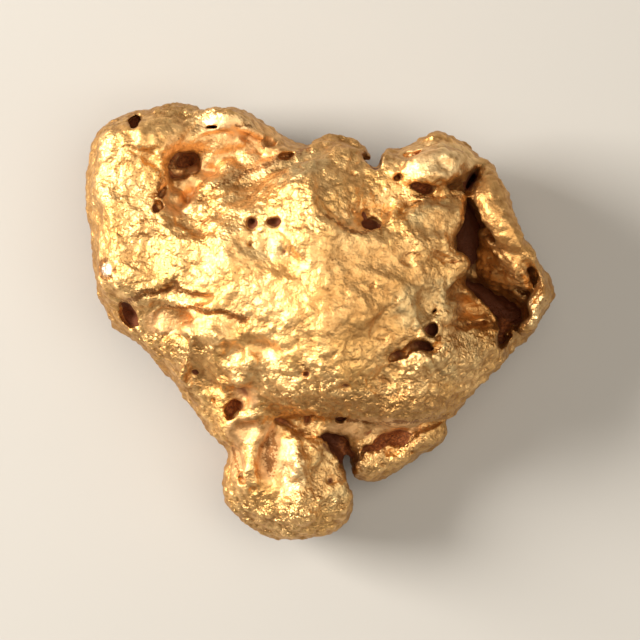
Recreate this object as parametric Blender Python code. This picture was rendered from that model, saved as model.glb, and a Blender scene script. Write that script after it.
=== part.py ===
"""Gold nugget: one water-worn lump of metal, lying on its back with its lobed side up.

The lump is a field of distances to its surface, in millimetres. Rounded lobes, drawn as outlines seen from
above, are joined into it. Then its hollows, ledges, folds, slots and pits are pressed into the surface, at
the height that the surface has there. The field is skinned, thinned with a Decimate modifier, and stood on
z = 0, where the worn underside has its small flats.
"""
import math

import bpy
import bmesh
import numpy as np
import openvdb
from mathutils import Matrix, Vector, noise

# ------------------------------------------------------------------ driving dimensions, millimetres
LENGTH = 23.6
WIDTH = 21.9
HEIGHT = 10.7
GRID_STEP = 0.13
ROOM_BEFORE = (0.7, 0.7, 0.8)
ROOM_BEYOND = (0.7, 0.7, 1.1)
FLAT_SNAP = 0.03
TRIANGLES = 9400
METRES = 0.001

GOLD = (0.80, 0.50, 0.16, 1.0)
GOLD_ROUGHNESS = 0.38

# Each lobe: its outline seen from above, the height of its widest level, how far it rises and falls from
# there, how far in from the outline it rounds over, the slope of that level, and its join's rounding.
LOBES = {
    "underside": dict(
        outline=[(-10.5, 6.6), (-10.2, 8.6), (-8.0, 9.8), (-5.0, 9.8), (-1.5, 8.4), (1.0, 8.4), (4.0, 7.6),
                 (6.4, 8.2), (8.6, 6.0), (10.2, 3.0), (10.3, 0.8), (8.2, -1.8), (6.0, -4.2), (3.0, -6.3),
                 (1.2, -7.0), (-1.0, -6.9), (-4.0, -6.2), (-6.2, -3.6), (-8.8, -0.6), (-10.2, 2.0)],
        level=3.1, rise=1.9, fall=2.95, rim=3.2, slope=(0, 0), blend=0),
    "boss": dict(
        outline=[(-8.6, 3.6), (-6.9, 5.6), (-4.6, 6.9), (-1.4, 8.1), (0.6, 9.2), (2.3, 8.9), (2.8, 7.5),
                 (4.4, 6.2), (6.6, 6.2), (7.1, 5.0), (6.9, 3.4), (7.1, 2.0), (7.5, 0.4), (8.0, -0.8),
                 (7.3, -2.6), (6.0, -3.8), (3.0, -4.3), (0.0, -4.3), (-2.6, -4.1), (-4.6, -4.0),
                 (-6.6, -2.6), (-8.2, 0.4)],
        level=4.8, rise=5.5, fall=4.2, rim=5.4, slope=(0.03, 0), blend=1.0),
    "brow": dict(
        outline=[(-3.4, -3.4), (-1.4, -4.4), (0.3, -4.85), (1.8, -5.05), (3.4, -5.15), (5.2, -5.05),
                 (6.6, -4.65), (7.9, -3.25), (8.9, -2.2), (9.1, -0.9), (8.3, -0.2), (6.0, -0.6),
                 (3.6, -1.2), (0.5, -1.0), (-2.2, -1.6)],
        level=6.0, rise=2.4, fall=1.9, rim=1.9, slope=(-0.2, 0.1), blend=1.0),
    "wing": dict(
        outline=[(-11.8, 6.6), (-11.85, 8.0), (-11.0, 9.65), (-8.9, 10.6), (-7.4, 10.55), (-6.6, 10.0),
                 (-6.6, 8.0), (-6.8, 6.6), (-6.3, 5.0), (-5.6, 2.4), (-6.6, 0.9), (-8.9, -0.35),
                 (-10.05, 0.35), (-11.0, 1.4), (-11.1, 3.05), (-11.45, 4.6)],
        level=3.9, rise=3.6, fall=3.0, rim=1.6, slope=(0.12, -0.03), blend=1.2),
    "north rim": dict(
        outline=[(-8.2, 10.3), (-6.6, 10.6), (-5.9, 10.35), (-5.2, 10.65), (-4.1, 10.55), (-3.0, 9.8),
                 (-1.9, 9.0), (-0.9, 8.5), (-0.4, 7.6), (-2.6, 6.6), (-5.6, 6.0), (-8.2, 6.6), (-8.8, 8.6)],
        level=3.7, rise=2.9, fall=2.6, rim=1.5, slope=(0, 0), blend=0.7),
    "flank": dict(
        outline=[(-10.2, 0.15), (-9.0, -1.55), (-6.85, -3.35), (-5.5, -4.9), (-4.6, -6.35), (-2.6, -6.8),
                 (-1.8, -4.6), (-3.0, -1.0), (-5.0, 1.6), (-8.0, 2.2)],
        level=3.5, rise=3.4, fall=2.7, rim=2.2, slope=(0.10, 0.06), blend=1.0),
    "foot": dict(
        outline=[(-4.7, -6.6), (-5.15, -7.6), (-5.0, -8.7), (-4.15, -9.9), (-2.5, -10.7), (-0.6, -10.88),
                 (0.8, -10.58), (1.55, -9.85), (1.6, -8.8), (1.35, -7.6), (0.5, -6.3), (-0.4, -5.6),
                 (-2.4, -5.2), (-4.2, -5.6)],
        level=3.2, rise=3.0, fall=2.6, rim=2.0, slope=(0.0, 0.12), blend=0.6),
    "crescent": dict(
        outline=[(1.5, -7.5), (2.0, -8.05), (3.1, -8.15), (4.75, -7.5), (6.05, -6.3), (6.55, -4.9),
                 (7.4, -3.8), (8.8, -2.3), (8.2, -1.4), (5.0, -3.0), (2.6, -4.4), (1.9, -5.6)],
        level=2.8, rise=1.9, fall=2.0, rim=1.2, slope=(0, 0.05), blend=0.4),
    "shoulder": dict(
        outline=[(3.0, 7.95), (4.0, 8.4), (5.2, 8.85), (5.8, 9.3), (7.0, 8.7), (8.0, 7.8), (8.2, 7.2),
                 (7.2, 6.5), (5.6, 5.9), (4.2, 6.3), (3.3, 7.1)],
        level=4.7, rise=3.6, fall=3.3, rim=1.8, slope=(0.12, -0.14), blend=0.5),
    "arm": dict(
        outline=[(7.3, 6.6), (8.3, 7.9), (9.5, 6.8), (9.9, 5.5), (10.3, 4.5), (11.2, 3.2), (11.85, 1.7),
                 (11.75, 0.6), (10.3, -0.55), (9.7, 0.4), (10.2, 1.6), (9.6, 2.6), (8.6, 3.8), (7.8, 5.0),
                 (7.25, 6.0)],
        level=4.6, rise=3.4, fall=3.0, rim=1.2, slope=(-0.14, 0.0), blend=0.4),
    "corner": dict(
        outline=[(7.2, 3.6), (9.0, 3.6), (10.8, 2.2), (11.4, 1.1), (10.9, -0.1), (10.15, -1.1),
                 (9.3, -1.75), (8.0, -1.6), (7.0, 0.6)],
        level=2.8, rise=2.2, fall=2.2, rim=1.4, slope=(0, 0), blend=0.4),
}
MELT_ROUNDING = 0.25

# Uneven flow of the metal: spacing and height of three sizes of swelling.
FLOW = ((2.8, 0.62), (1.5, 0.6))
FINE_FLOW = (0.8, 0.42)

# Grooves and ridges vary in width and height by this share, over this length. Pits and grooves have ragged
# walls, by this share of their half-width, over this spacing.
WANDER = 0.7
WANDER_LENGTH = 0.8
RAGGED = 0.9
RAGGED_SPACING = 0.45
SEED = 41
BACK_MARKS = 80
EDGE_LEVEL = 3.0
FLANK_MARKS = 75
FLANK_CEILING = 3.2


# ------------------------------------------------------------------ distances
def smooth_min(first, second, blend):
    """The smaller of two distances, rounded over where they are within blend of each other."""
    if blend <= 0:
        return np.minimum(first, second)
    share = np.clip(0.5 + 0.5 * (second - first) / blend, 0, 1)
    return second + (first - second) * share - blend * share * (1 - share)


def closed_curve(corners, steps=6):
    """Points along a smooth closed curve through the corners."""
    here = np.array(corners, np.float32)
    before, after, beyond = np.roll(here, 1, 0), np.roll(here, -1, 0), np.roll(here, -2, 0)
    t = (np.arange(steps, dtype=np.float32) / steps)[:, None, None]
    linear = (after - before) * t
    square = (2 * before - 5 * here + 4 * after - beyond) * t**2
    cubic = (3 * here - before - 3 * after + beyond) * t**3
    return (here + 0.5 * (linear + square + cubic)).transpose(1, 0, 2).reshape(-1, 2)


def open_curve(path, spacing=0.35):
    """Points at an even spacing along a smooth curve through the path's points."""
    ends = [2 * Vector(path[0]) - Vector(path[1]), *map(Vector, path),
            2 * Vector(path[-1]) - Vector(path[-2])]
    curve = [ends[1]]
    for before, here, after, beyond in zip(ends, ends[1:], ends[2:], ends[3:]):
        steps = max(int((after - here).length / spacing), 1)
        for t in (step / steps for step in range(1, steps + 1)):
            bend = (2 * before - 5 * here + 4 * after - beyond) * t**2
            bend += (3 * here - before - 3 * after + beyond) * t**3
            curve.append(here + 0.5 * ((after - before) * t + bend))
    return curve


def outline_distance(x, y, corners):
    """Distance in the plane to a closed outline, negative inside it."""
    nearest = np.full(np.broadcast(x, y).shape, 1e9, np.float32)
    inside = np.zeros(nearest.shape, bool)
    for (ax, ay), (bx, by) in zip(corners, np.roll(corners, -1, 0)):
        run, climb = bx - ax, by - ay
        t = np.clip(((x - ax) * run + (y - ay) * climb) / max(run**2 + climb**2, 1e-9), 0, 1)
        np.minimum(nearest, (x - ax - t * run) ** 2 + (y - ay - t * climb) ** 2, out=nearest)
        if ay != by:
            crossed = (y >= min(ay, by)) & (y < max(ay, by))
            inside ^= crossed & (x < ax + (y - ay) / climb * run)
    return np.where(inside, -1, 1) * np.sqrt(nearest)


def box_blur(values, reach, axis):
    """Running mean over reach cells on each side, along one axis."""
    pad = [(0, 0)] * values.ndim
    pad[axis] = (reach + 1, reach)
    total = np.cumsum(np.pad(values, pad, mode="edge"), axis=axis, dtype=np.float64)
    width = 2 * reach + 1
    size = values.shape[axis]
    mean = np.take(total, range(width, width + size), axis) - np.take(total, range(size), axis)
    return (mean / width).astype(np.float32)


def oval_distance(parts, radii):
    """Distance to an ellipse or ellipsoid, from the offsets along its axes."""
    scaled = np.sqrt(sum((part / radius) ** 2 for part, radius in zip(parts, radii)))
    steep = np.sqrt(sum((part / radius**2) ** 2 for part, radius in zip(parts, radii)))
    return (scaled - 1) * scaled / np.maximum(steep, 1e-4)


# ------------------------------------------------------------------ the lump
class Lump:
    """Signed distances to the metal's surface on a grid: negative in the metal."""

    def __init__(self, low, high, step):
        self.step = step
        self.extents = [b - a for a, b in zip(low, high)]
        self.axes = [np.arange(a, b, step, dtype=np.float32) for a, b in zip(low, high)]
        self.values = np.full([len(axis) for axis in self.axes], 5.0, np.float32)
        self.ragged = self.smooth_random(RAGGED_SPACING, SEED + 5)

    def window(self, low, high, margin):
        """The part of the grid in a box, and its coordinates."""
        spans = []
        for axis, a, b in zip(self.axes, low, high):
            first, last = np.searchsorted(axis, (a - margin, b + margin))
            spans.append(slice(first, max(last, first + 1)))
        x, y, z = (axis[span] for axis, span in zip(self.axes, spans))
        return tuple(spans), x[:, None, None], y[None, :, None], z[None, None, :]

    def join(self, at, distance, blend):
        self.values[at] = smooth_min(self.values[at], distance, blend)

    def cut(self, at, distance, blend):
        self.values[at] = -smooth_min(-self.values[at], distance, blend)

    def top(self, place):
        """Height of the upper surface over a place."""
        i, j = (int(round((v - axis[0]) / self.step)) for v, axis in zip(place, self.axes))
        column = self.values[i, j]
        filled = np.nonzero(column < 0)[0]
        if not len(filled):
            return EDGE_LEVEL
        k = min(filled[-1], len(column) - 2)
        return float(self.axes[2][k] + self.step * column[k] / (column[k] - column[k + 1]))

    def covers(self, place, reach):
        """Whether there is metal under a place and for some way round it."""
        i, j = (int(round((v - axis[0]) / self.step)) for v, axis in zip(place, self.axes))
        cells = int(reach / self.step)
        return bool((self.values[i - cells:i + cells + 1, j - cells:j + cells + 1] < 0).any(2).all())

    def lobe(self, outline, level, rise, fall, rim, slope, blend):
        """Joins a rounded lump with a given outline."""
        curve = closed_curve(outline)
        middle = curve.mean(0)
        tilt = np.abs(slope) @ np.ptp(curve, 0) / 2
        low, high = (*curve.min(0), level - fall - tilt), (*curve.max(0), level + rise + tilt)
        at, x, y, z = self.window(low, high, blend + 0.6)
        flat = self.soft_inside(outline_distance(x[:, :, 0], y[:, :, 0], curve), rim)[:, :, None]
        lift = z - level - slope[0] * (x - middle[0]) - slope[1] * (y - middle[1])
        reach = np.where(lift > 0, np.float32(rise), np.float32(fall))
        self.join(at, oval_distance((np.maximum(flat + rim, 0), lift), (rim, reach)), blend)

    def soft_inside(self, flat, rim):
        """An outline's distance with the crease along its middle line smoothed away."""
        reach = max(int(0.16 * rim / self.step), 1)
        soft = flat
        for _ in range(3):
            soft = box_blur(box_blur(soft, reach, 0), reach, 1)
        depth = np.clip(-flat / (0.45 * rim), 0, 1)
        return flat + (soft - flat) * depth * depth * (3 - 2 * depth)

    def ball(self, centre, radii, turn, blend, add, wobble=0):
        """Joins or cuts an ellipsoid, turned by a matrix."""
        directions = np.array(turn, np.float32)
        reach = np.sqrt(((directions * np.array(radii, np.float32)) ** 2).sum(1))
        at, x, y, z = self.window(centre - Vector(reach), centre + Vector(reach), blend + 0.4)
        offsets = (x - centre[0], y - centre[1], z - centre[2])
        along = [sum(offset * part for offset, part in zip(offsets, axis)) for axis in directions.T]
        distance = oval_distance(along, radii) + wobble * self.ragged[at]
        (self.join if add else self.cut)(at, distance, blend)

    def dish(self, at, half, depth, turn=0, blend=0.35):
        """A shallow hollow in the upper surface, of given half-widths."""
        self.cap(at, half, depth, turn, blend, add=False)

    def swell(self, at, half, height, turn=0, blend=0.25):
        """A low bump on the upper surface, of given half-widths."""
        self.cap(at, half, height, turn, blend, add=True)

    def cap(self, at, half, height, turn, blend, add):
        centre = Vector((*at, self.top(at) + (-1.5 if add else 1.5) * height))
        radii = (half[0] / 0.8, half[1] / 0.8, 2.5 * height)
        self.ball(centre, radii, Matrix.Rotation(math.radians(turn), 3, "Z"), blend, add)

    def pit(self, at, half, depth, turn=0):
        """A sharp-rimmed, ragged hole in the upper surface."""
        centre = Vector((*at, self.top(at) - 0.15 * depth))
        across = Matrix.Rotation(math.radians(turn), 3, "Z")
        self.ball(centre, (*half, depth), across, 0.08, add=False, wobble=RAGGED * min(half))

    def nearest_on(self, path, at_x, at_y):
        """Distance in the plane to a path of (x, y, *values), and the values at its nearest point."""
        nearest = values = None
        for start, end in zip(path, path[1:]):
            run, climb = end[0] - start[0], end[1] - start[1]
            along = (at_x - start[0]) * run + (at_y - start[1]) * climb
            t = np.clip(along / max(run**2 + climb**2, 1e-9), 0, 1)
            gap = np.hypot(at_x - start[0] - t * run, at_y - start[1] - t * climb)
            here = [a + t * (b - a) for a, b in zip(start[2:], end[2:])]
            if nearest is None:
                nearest, values = gap, here
            else:
                closer = gap < nearest
                nearest = np.where(closer, gap, nearest)
                values = [np.where(closer, new, old) for new, old in zip(here, values)]
        return nearest, values

    def on_surface(self, path, width, height):
        """A path's smooth curve as (x, y, top, half-width, height), tapering to both ends."""
        curve = open_curve(path)
        last = len(curve) - 1
        line = []
        for number, (x, y) in enumerate(curve):
            swing = noise.noise(Vector((x, y, height)) / WANDER_LENGTH)
            size = (0.3 + 0.7 * min(1, 2.5 * math.sin(math.pi * number / last))) * (1 + WANDER * swing)
            line.append((x, y, self.top((x, y)), width * size, height * size))
        return line

    def groove(self, path, half_width, depth, blend=0.12):
        """A sunk line with an elliptical floor, along a path on the upper surface."""
        line = self.on_surface(path, half_width, depth)
        corners = np.array(line)
        low = (*(corners[:, :2].min(0) - half_width), corners[:, 2].min() - depth)
        high = (*(corners[:, :2].max(0) + half_width), corners[:, 2].max() + 0.6)
        at, x, y, z = self.window(low, high, blend + 0.3)
        gap, (top, width, sunk) = self.nearest_on(line, x[:, :, 0], y[:, :, 0])
        gap, top, width, sunk = (v[:, :, None] for v in (gap, top, width, sunk))
        distance = oval_distance((gap, np.maximum(top - z, 0)), (width, sunk))
        self.cut(at, distance + RAGGED * half_width * self.ragged[at], blend)

    def ridge(self, path, half_width, height, blend=0.25):
        """A raised fold along a path on the upper surface."""
        line = [(x, y, top + tall - wide, wide)
                for x, y, top, wide, tall in self.on_surface(path, half_width, height)]
        self.bar(line, blend, add=True)

    def bar(self, line, blend, add):
        """Joins or cuts a round bar along points of (x, y, z, radius)."""
        points = np.array(line, np.float32)
        low, high = (points[:, :3] - points[:, 3:]).min(0), (points[:, :3] + points[:, 3:]).max(0)
        at, x, y, z = self.window(low, high, blend + 0.4)
        found = np.float32(9)
        for start, end in zip(points, points[1:]):
            run = end[:3] - start[:3]
            offsets = (x - start[0], y - start[1], z - start[2])
            t = np.clip(sum(o * r for o, r in zip(offsets, run)) / max(run @ run, 1e-9), 0, 1)
            gap = np.sqrt(sum((o - t * r) ** 2 for o, r in zip(offsets, run)))
            found = np.minimum(found, gap - start[3] - t * (end[3] - start[3]))
        (self.join if add else self.cut)(at, found, blend)

    def chasm(self, path, floor, blend=0.2):
        """A steep-walled cut along points of (x, y, half-width), down to a floor height."""
        points = np.array(path, np.float32)
        low = (*(points[:, :2] - points[:, 2:]).min(0), floor)
        high = (*(points[:, :2] + points[:, 2:]).max(0), self.axes[2][-1])
        at, x, y, z = self.window(low, high, blend + 0.3)
        gap, (width,) = self.nearest_on(path, x[:, :, 0], y[:, :, 0])
        self.cut(at, -smooth_min((width - gap)[:, :, None], z - floor, 0.8), blend)

    def press(self, outline, depth, fade=(0, 0), edge=0.2):
        """Sinks the upper surface inside an outline, by less along the fade; a negative depth raises it."""
        curve = closed_curve(outline)
        at, x, y, z = self.window((*curve.min(0), self.axes[2][0]), (*curve.max(0), self.axes[2][-1]), 0)
        flat = outline_distance(x[:, :, 0], y[:, :, 0], curve)
        middle = curve.mean(0)
        lean = fade[0] * (x[:, :, 0] - middle[0]) + fade[1] * (y[:, :, 0] - middle[1])
        share = np.clip(-flat / edge, 0, 1)
        shift = depth * share * share * (3 - 2 * share) * np.clip(0.5 - lean, 0, 1)
        place = np.arange(z.size) + shift[:, :, None] / self.step
        cell = np.clip(place.astype(int), 0, z.size - 2)
        t = np.clip(place - cell, 0, 1)
        old = self.values[at]
        moved = np.take_along_axis(old, cell, 2) * (1 - t) + np.take_along_axis(old, cell + 1, 2) * t
        self.values[at] = np.maximum(old, moved) if depth > 0 else np.minimum(old, moved)

    def round_off(self, reach):
        """Softens every edge by a running mean over the given reach."""
        cells = max(int(reach / self.step), 1)
        for axis in range(3):
            self.values = box_blur(self.values, cells, axis)

    def smooth_random(self, spacing, seed):
        """Smooth random values over the grid, from a lattice of the given spacing."""
        random = np.random.default_rng(seed)
        weights = []
        for axis, extent in zip(self.axes, self.extents):
            place = (axis - axis[0]) / spacing
            cell = place.astype(int)
            t = place - cell
            table = np.zeros((len(axis), int(extent / spacing) + 4), np.float32)
            shares = ((1 - t) ** 3, 3 * t**3 - 6 * t**2 + 4, -3 * t**3 + 3 * t**2 + 3 * t + 1, t**3)
            for step, share in enumerate(shares):
                table[np.arange(len(axis)), cell + step] = share / 6
            weights.append(table)
        values = random.uniform(-1, 1, [table.shape[1] for table in weights]).astype(np.float32)
        for table in weights:
            values = np.tensordot(values, table, (0, 1))
        return values

    def flow(self, spacing, height, seed):
        """Raises and lowers the surface by smooth random values."""
        self.values += height * self.smooth_random(spacing, seed)

    def turn_over(self):
        """Turns the lump upside down in its grid, so that its underside can be worked from above."""
        self.values = np.ascontiguousarray(self.values[:, :, ::-1])

    def strike(self, start, direction):
        """Where a line from outside first meets the metal, and the way out of the surface there."""
        place = np.array(start, float)
        step = 0.5 * self.step * np.array(direction)
        low = np.array([axis[0] for axis in self.axes])
        high = np.array([axis[-1] for axis in self.axes])
        for _ in range(2000):
            if (place > low).all() and (place < high).all():
                index = tuple(np.round((place - low) / self.step).astype(int))
                if self.values[index] < 0:
                    near = self.values[tuple(slice(i - 2, i + 3) for i in index)]
                    outward = Vector([np.diff(near, axis=axis).mean() for axis in range(3)])
                    return Vector(place), outward.normalized()
            place = place + step
        return None, None


# ------------------------------------------------------------------ upper side, region by region
def wing_and_basin(gold):
    """The smooth basin at the upper left, its domed floor and rim, and the wing's ledge beside it."""
    gold.dish(at=(-4.6, 8.2), half=(2.9, 1.2), depth=0.9, turn=14, blend=0.5)
    gold.press([(-7.7, 8.5), (-8.1, 7.6), (-8.05, 6.2), (-8.35, 5.25), (-7.3, 4.9), (-6.3, 4.8),
                (-5.85, 5.5), (-5.3, 6.4), (-4.4, 7.2), (-5.2, 8.4), (-6.6, 8.9)], depth=0.6,
               fade=(0.05, -0.2), edge=0.8)
    domes = ((-5.4, 7.95, 0.65), (-4.5, 7.5, 0.5), (-4.9, 8.8, 0.5), (-3.5, 8.0, 0.55), (-4.0, 8.9, 0.45),
             (-2.6, 8.5, 0.45), (-2.0, 8.35, 0.35), (-6.8, 6.7, 0.4), (-7.2, 6.0, 0.35), (-6.4, 5.5, 0.35))
    for x, y, radius in domes:
        gold.swell(at=(x, y), half=(radius, 0.75 * radius), height=0.25, turn=25, blend=0.25)
    gold.ridge([(-7.2, 9.0), (-6.7, 9.5), (-6.0, 9.95), (-5.0, 10.1), (-4.0, 9.85), (-3.3, 9.35),
                (-2.3, 8.95), (-1.3, 8.6)], half_width=0.35, height=0.35)
    gold.groove([(-4.4, 9.6), (-3.9, 9.2), (-3.3, 8.8)], half_width=0.16, depth=0.25)
    gold.groove([(-6.0, 9.0), (-5.2, 9.2), (-4.4, 9.25)], half_width=0.14, depth=0.2)
    gold.dish(at=(-9.2, 9.1), half=(0.45, 0.45), depth=0.25, blend=0.15)
    gold.swell(at=(-8.75, 9.05), half=(0.28, 0.3), height=0.25, blend=0.12)
    gold.groove([(-9.6, 8.5), (-9.0, 8.25), (-8.3, 8.0), (-7.9, 7.5)], half_width=0.3, depth=0.25,
                blend=0.3)
    gold.groove([(-7.0, 4.85), (-6.5, 4.85), (-5.9, 4.5), (-5.4, 4.4)], 0.3, 0.3, blend=0.4)
    gold.groove([(-10.9, 2.5), (-10.55, 2.15), (-10.2, 2.5), (-10.55, 2.85), (-10.9, 2.5)], 0.1, 0.22,
                blend=0.08)
    gold.swell(at=(-8.6, 4.5), half=(0.6, 0.4), height=0.2, turn=10)
    gold.swell(at=(-7.5, 4.4), half=(0.5, 0.35), height=0.2, turn=-10)


def crown(gold):
    """The boss: its sharp edge over the basin, its crest, and the sunken face behind the crest."""
    gold.ridge([(-6.2, 5.4), (-5.5, 6.2), (-4.2, 6.95), (-2.7, 7.45), (-1.3, 8.0)], 0.45, 0.18, blend=0.4)
    gold.ridge([(-0.5, 6.6), (-0.1, 3.6), (0.3, 0.2), (1.2, -3.0)], half_width=1.6, height=0.22, blend=1.2)
    gold.dish(at=(-2.7, 3.3), half=(1.1, 0.5), depth=0.22, turn=-30, blend=0.8)
    gold.press([(-0.45, 7.1), (-0.35, 6.2), (-0.15, 5.5), (0.4, 5.0), (1.2, 4.4), (2.1, 4.15), (3.0, 4.5),
                (3.6, 5.1), (4.0, 5.8), (4.0, 6.6), (3.5, 7.5), (1.6, 9.4), (0.2, 9.5), (-0.3, 8.3)],
               depth=0.85, fade=(0.04, 0.14), edge=0.35)
    gold.ridge([(3.5, 5.05), (3.85, 5.45), (4.1, 5.9)], half_width=0.25, height=0.25, blend=0.15)
    gold.ridge([(-0.3, 8.75), (0.5, 9.05), (1.4, 8.95), (2.1, 8.6)], half_width=0.3, height=0.3)
    gold.ridge([(2.0, 8.75), (2.2, 8.45), (1.95, 8.15)], half_width=0.16, height=0.35, blend=0.1)
    gold.groove([(1.4, 6.05), (1.75, 5.8), (1.95, 5.6)], half_width=0.1, depth=0.25)
    gold.dish(at=(4.0, -0.5), half=(1.2, 0.8), depth=0.15, turn=-20)
    gold.groove([(3.7, -0.3), (4.05, -0.7)], half_width=0.1, depth=0.25)
    gold.groove([(2.9, -0.85), (3.3, -0.8), (3.5, -0.95)], half_width=0.12, depth=0.25)


def lower_left(gold):
    """The step under the wing, the glazed hollow, the bright knob and fold, and the valley beside it."""
    gold.press([(-10.0, 0.95), (-9.1, 1.05), (-8.8, 1.4), (-7.9, 1.5), (-7.15, 1.9), (-6.8, 1.55),
                (-6.0, 1.35), (-5.2, 1.2), (-5.5, 0.7), (-7.0, 0.6), (-8.4, 0.3), (-9.5, 0.3)], depth=0.6,
               fade=(0, -0.7))
    gold.swell(at=(-7.6, 1.0), half=(0.8, 0.25), height=0.2, turn=5)
    gold.swell(at=(-8.8, 0.8), half=(0.45, 0.2), height=0.2, turn=-10)
    gold.press([(-8.0, 0.65), (-6.9, 0.65), (-6.3, 0.75), (-5.6, 0.45), (-4.8, 0.5), (-4.2, 0.3),
                (-3.5, -0.1), (-3.8, -0.7), (-4.6, -1.0), (-5.6, -0.9), (-6.8, -0.9), (-8.2, -0.3)],
               depth=0.45, fade=(0, -0.65))
    gold.dish(at=(-7.3, -0.05), half=(1.1, 0.5), depth=0.2, turn=-22, blend=0.5)
    gold.swell(at=(-6.4, -0.5), half=(0.5, 0.45), height=0.35)
    gold.ridge([(-6.2, -0.9), (-6.4, -1.8), (-6.7, -2.9), (-6.3, -3.9)], half_width=0.4, height=0.35,
               blend=0.4)
    gold.groove([(-5.75, -0.8), (-5.85, -1.7), (-5.9, -2.5), (-5.8, -3.3)], half_width=0.4, depth=0.4,
                blend=0.5)
    gold.ridge([(-5.2, -0.6), (-4.3, -1.1), (-4.0, -1.6)], half_width=0.3, height=0.15, blend=0.3)
    gold.dish(at=(-4.6, -2.0), half=(0.9, 0.5), depth=0.3, turn=30)
    gold.dish(at=(-3.1, -1.4), half=(0.8, 0.35), depth=0.2, turn=-20)
    gold.ridge([(-5.2, -2.9), (-4.3, -3.1), (-3.6, -2.7), (-3.2, -1.9)], half_width=0.35, height=0.2,
               blend=0.4)
    gold.dish(at=(-5.4, -3.6), half=(0.4, 0.5), depth=0.2, blend=0.4)


def flakes(gold):
    """The layered plates at the right of the boss, the recess, tooth and crack below them."""
    gold.lobe([(4.5, 5.2), (5.3, 5.9), (6.4, 5.75), (7.0, 5.8), (7.25, 5.0), (7.0, 4.3), (6.2, 4.0),
               (5.0, 4.1)], level=7.5, rise=0.9, fall=0.9, rim=0.5, slope=(-0.26, -0.08), blend=0.5)
    gold.dish(at=(4.95, 5.75), half=(0.5, 0.3), depth=0.2, blend=0.2)
    gold.lobe([(4.15, 3.4), (4.9, 3.75), (5.4, 4.05), (6.3, 4.1), (6.65, 3.85), (6.7, 3.45), (7.65, 3.4),
               (7.5, 2.8), (7.0, 2.0), (6.4, 1.5), (5.7, 1.4), (4.9, 1.7), (4.2, 2.5)],
              level=8.2, rise=0.6, fall=0.9, rim=0.35, slope=(-0.42, 0.0), blend=0.45)
    gold.press([(4.2, 4.2), (4.6, 4.6), (5.6, 4.5), (6.4, 4.2), (6.4, 3.7), (5.4, 3.6), (4.4, 3.6)],
               depth=-0.3, edge=0.35)
    gold.dish(at=(4.5, 3.0), half=(0.38, 0.38), depth=0.15, blend=0.1)
    gold.groove([(5.4, 4.0), (5.45, 3.5), (6.1, 3.0), (6.9, 2.8), (7.3, 3.0)], half_width=0.09, depth=0.2)
    gold.dish(at=(5.5, 0.6), half=(0.6, 0.75), depth=0.45, blend=0.4)
    gold.ridge([(6.1, 0.15), (6.5, 0.7), (6.95, 1.4)], half_width=0.25, height=0.15, blend=0.2)
    gold.dish(at=(7.7, 0.5), half=(0.9, 0.6), depth=0.8, turn=-30, blend=0.2)
    gold.ridge([(7.2, 1.5), (7.9, 1.05), (8.5, 0.6), (8.8, -0.1)], half_width=0.18, height=0.3, blend=0.12)
    gold.groove([(3.45, -1.85), (3.8, -1.7), (4.15, -1.75), (4.4, -1.4), (4.8, -1.25), (5.2, -1.35),
                 (5.55, -1.5), (5.8, -1.25), (6.15, -1.0)], half_width=0.17, depth=0.9, blend=0.08)
    gold.ridge([(4.3, -2.1), (4.9, -1.85), (5.6, -1.9), (6.2, -1.3), (6.5, -0.7)], 0.35, 0.2, blend=0.3)
    gold.groove([(6.0, -0.3), (6.7, -0.1), (7.3, -0.3), (7.8, -0.15), (8.5, -0.1)], half_width=0.15,
                depth=0.6)


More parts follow.
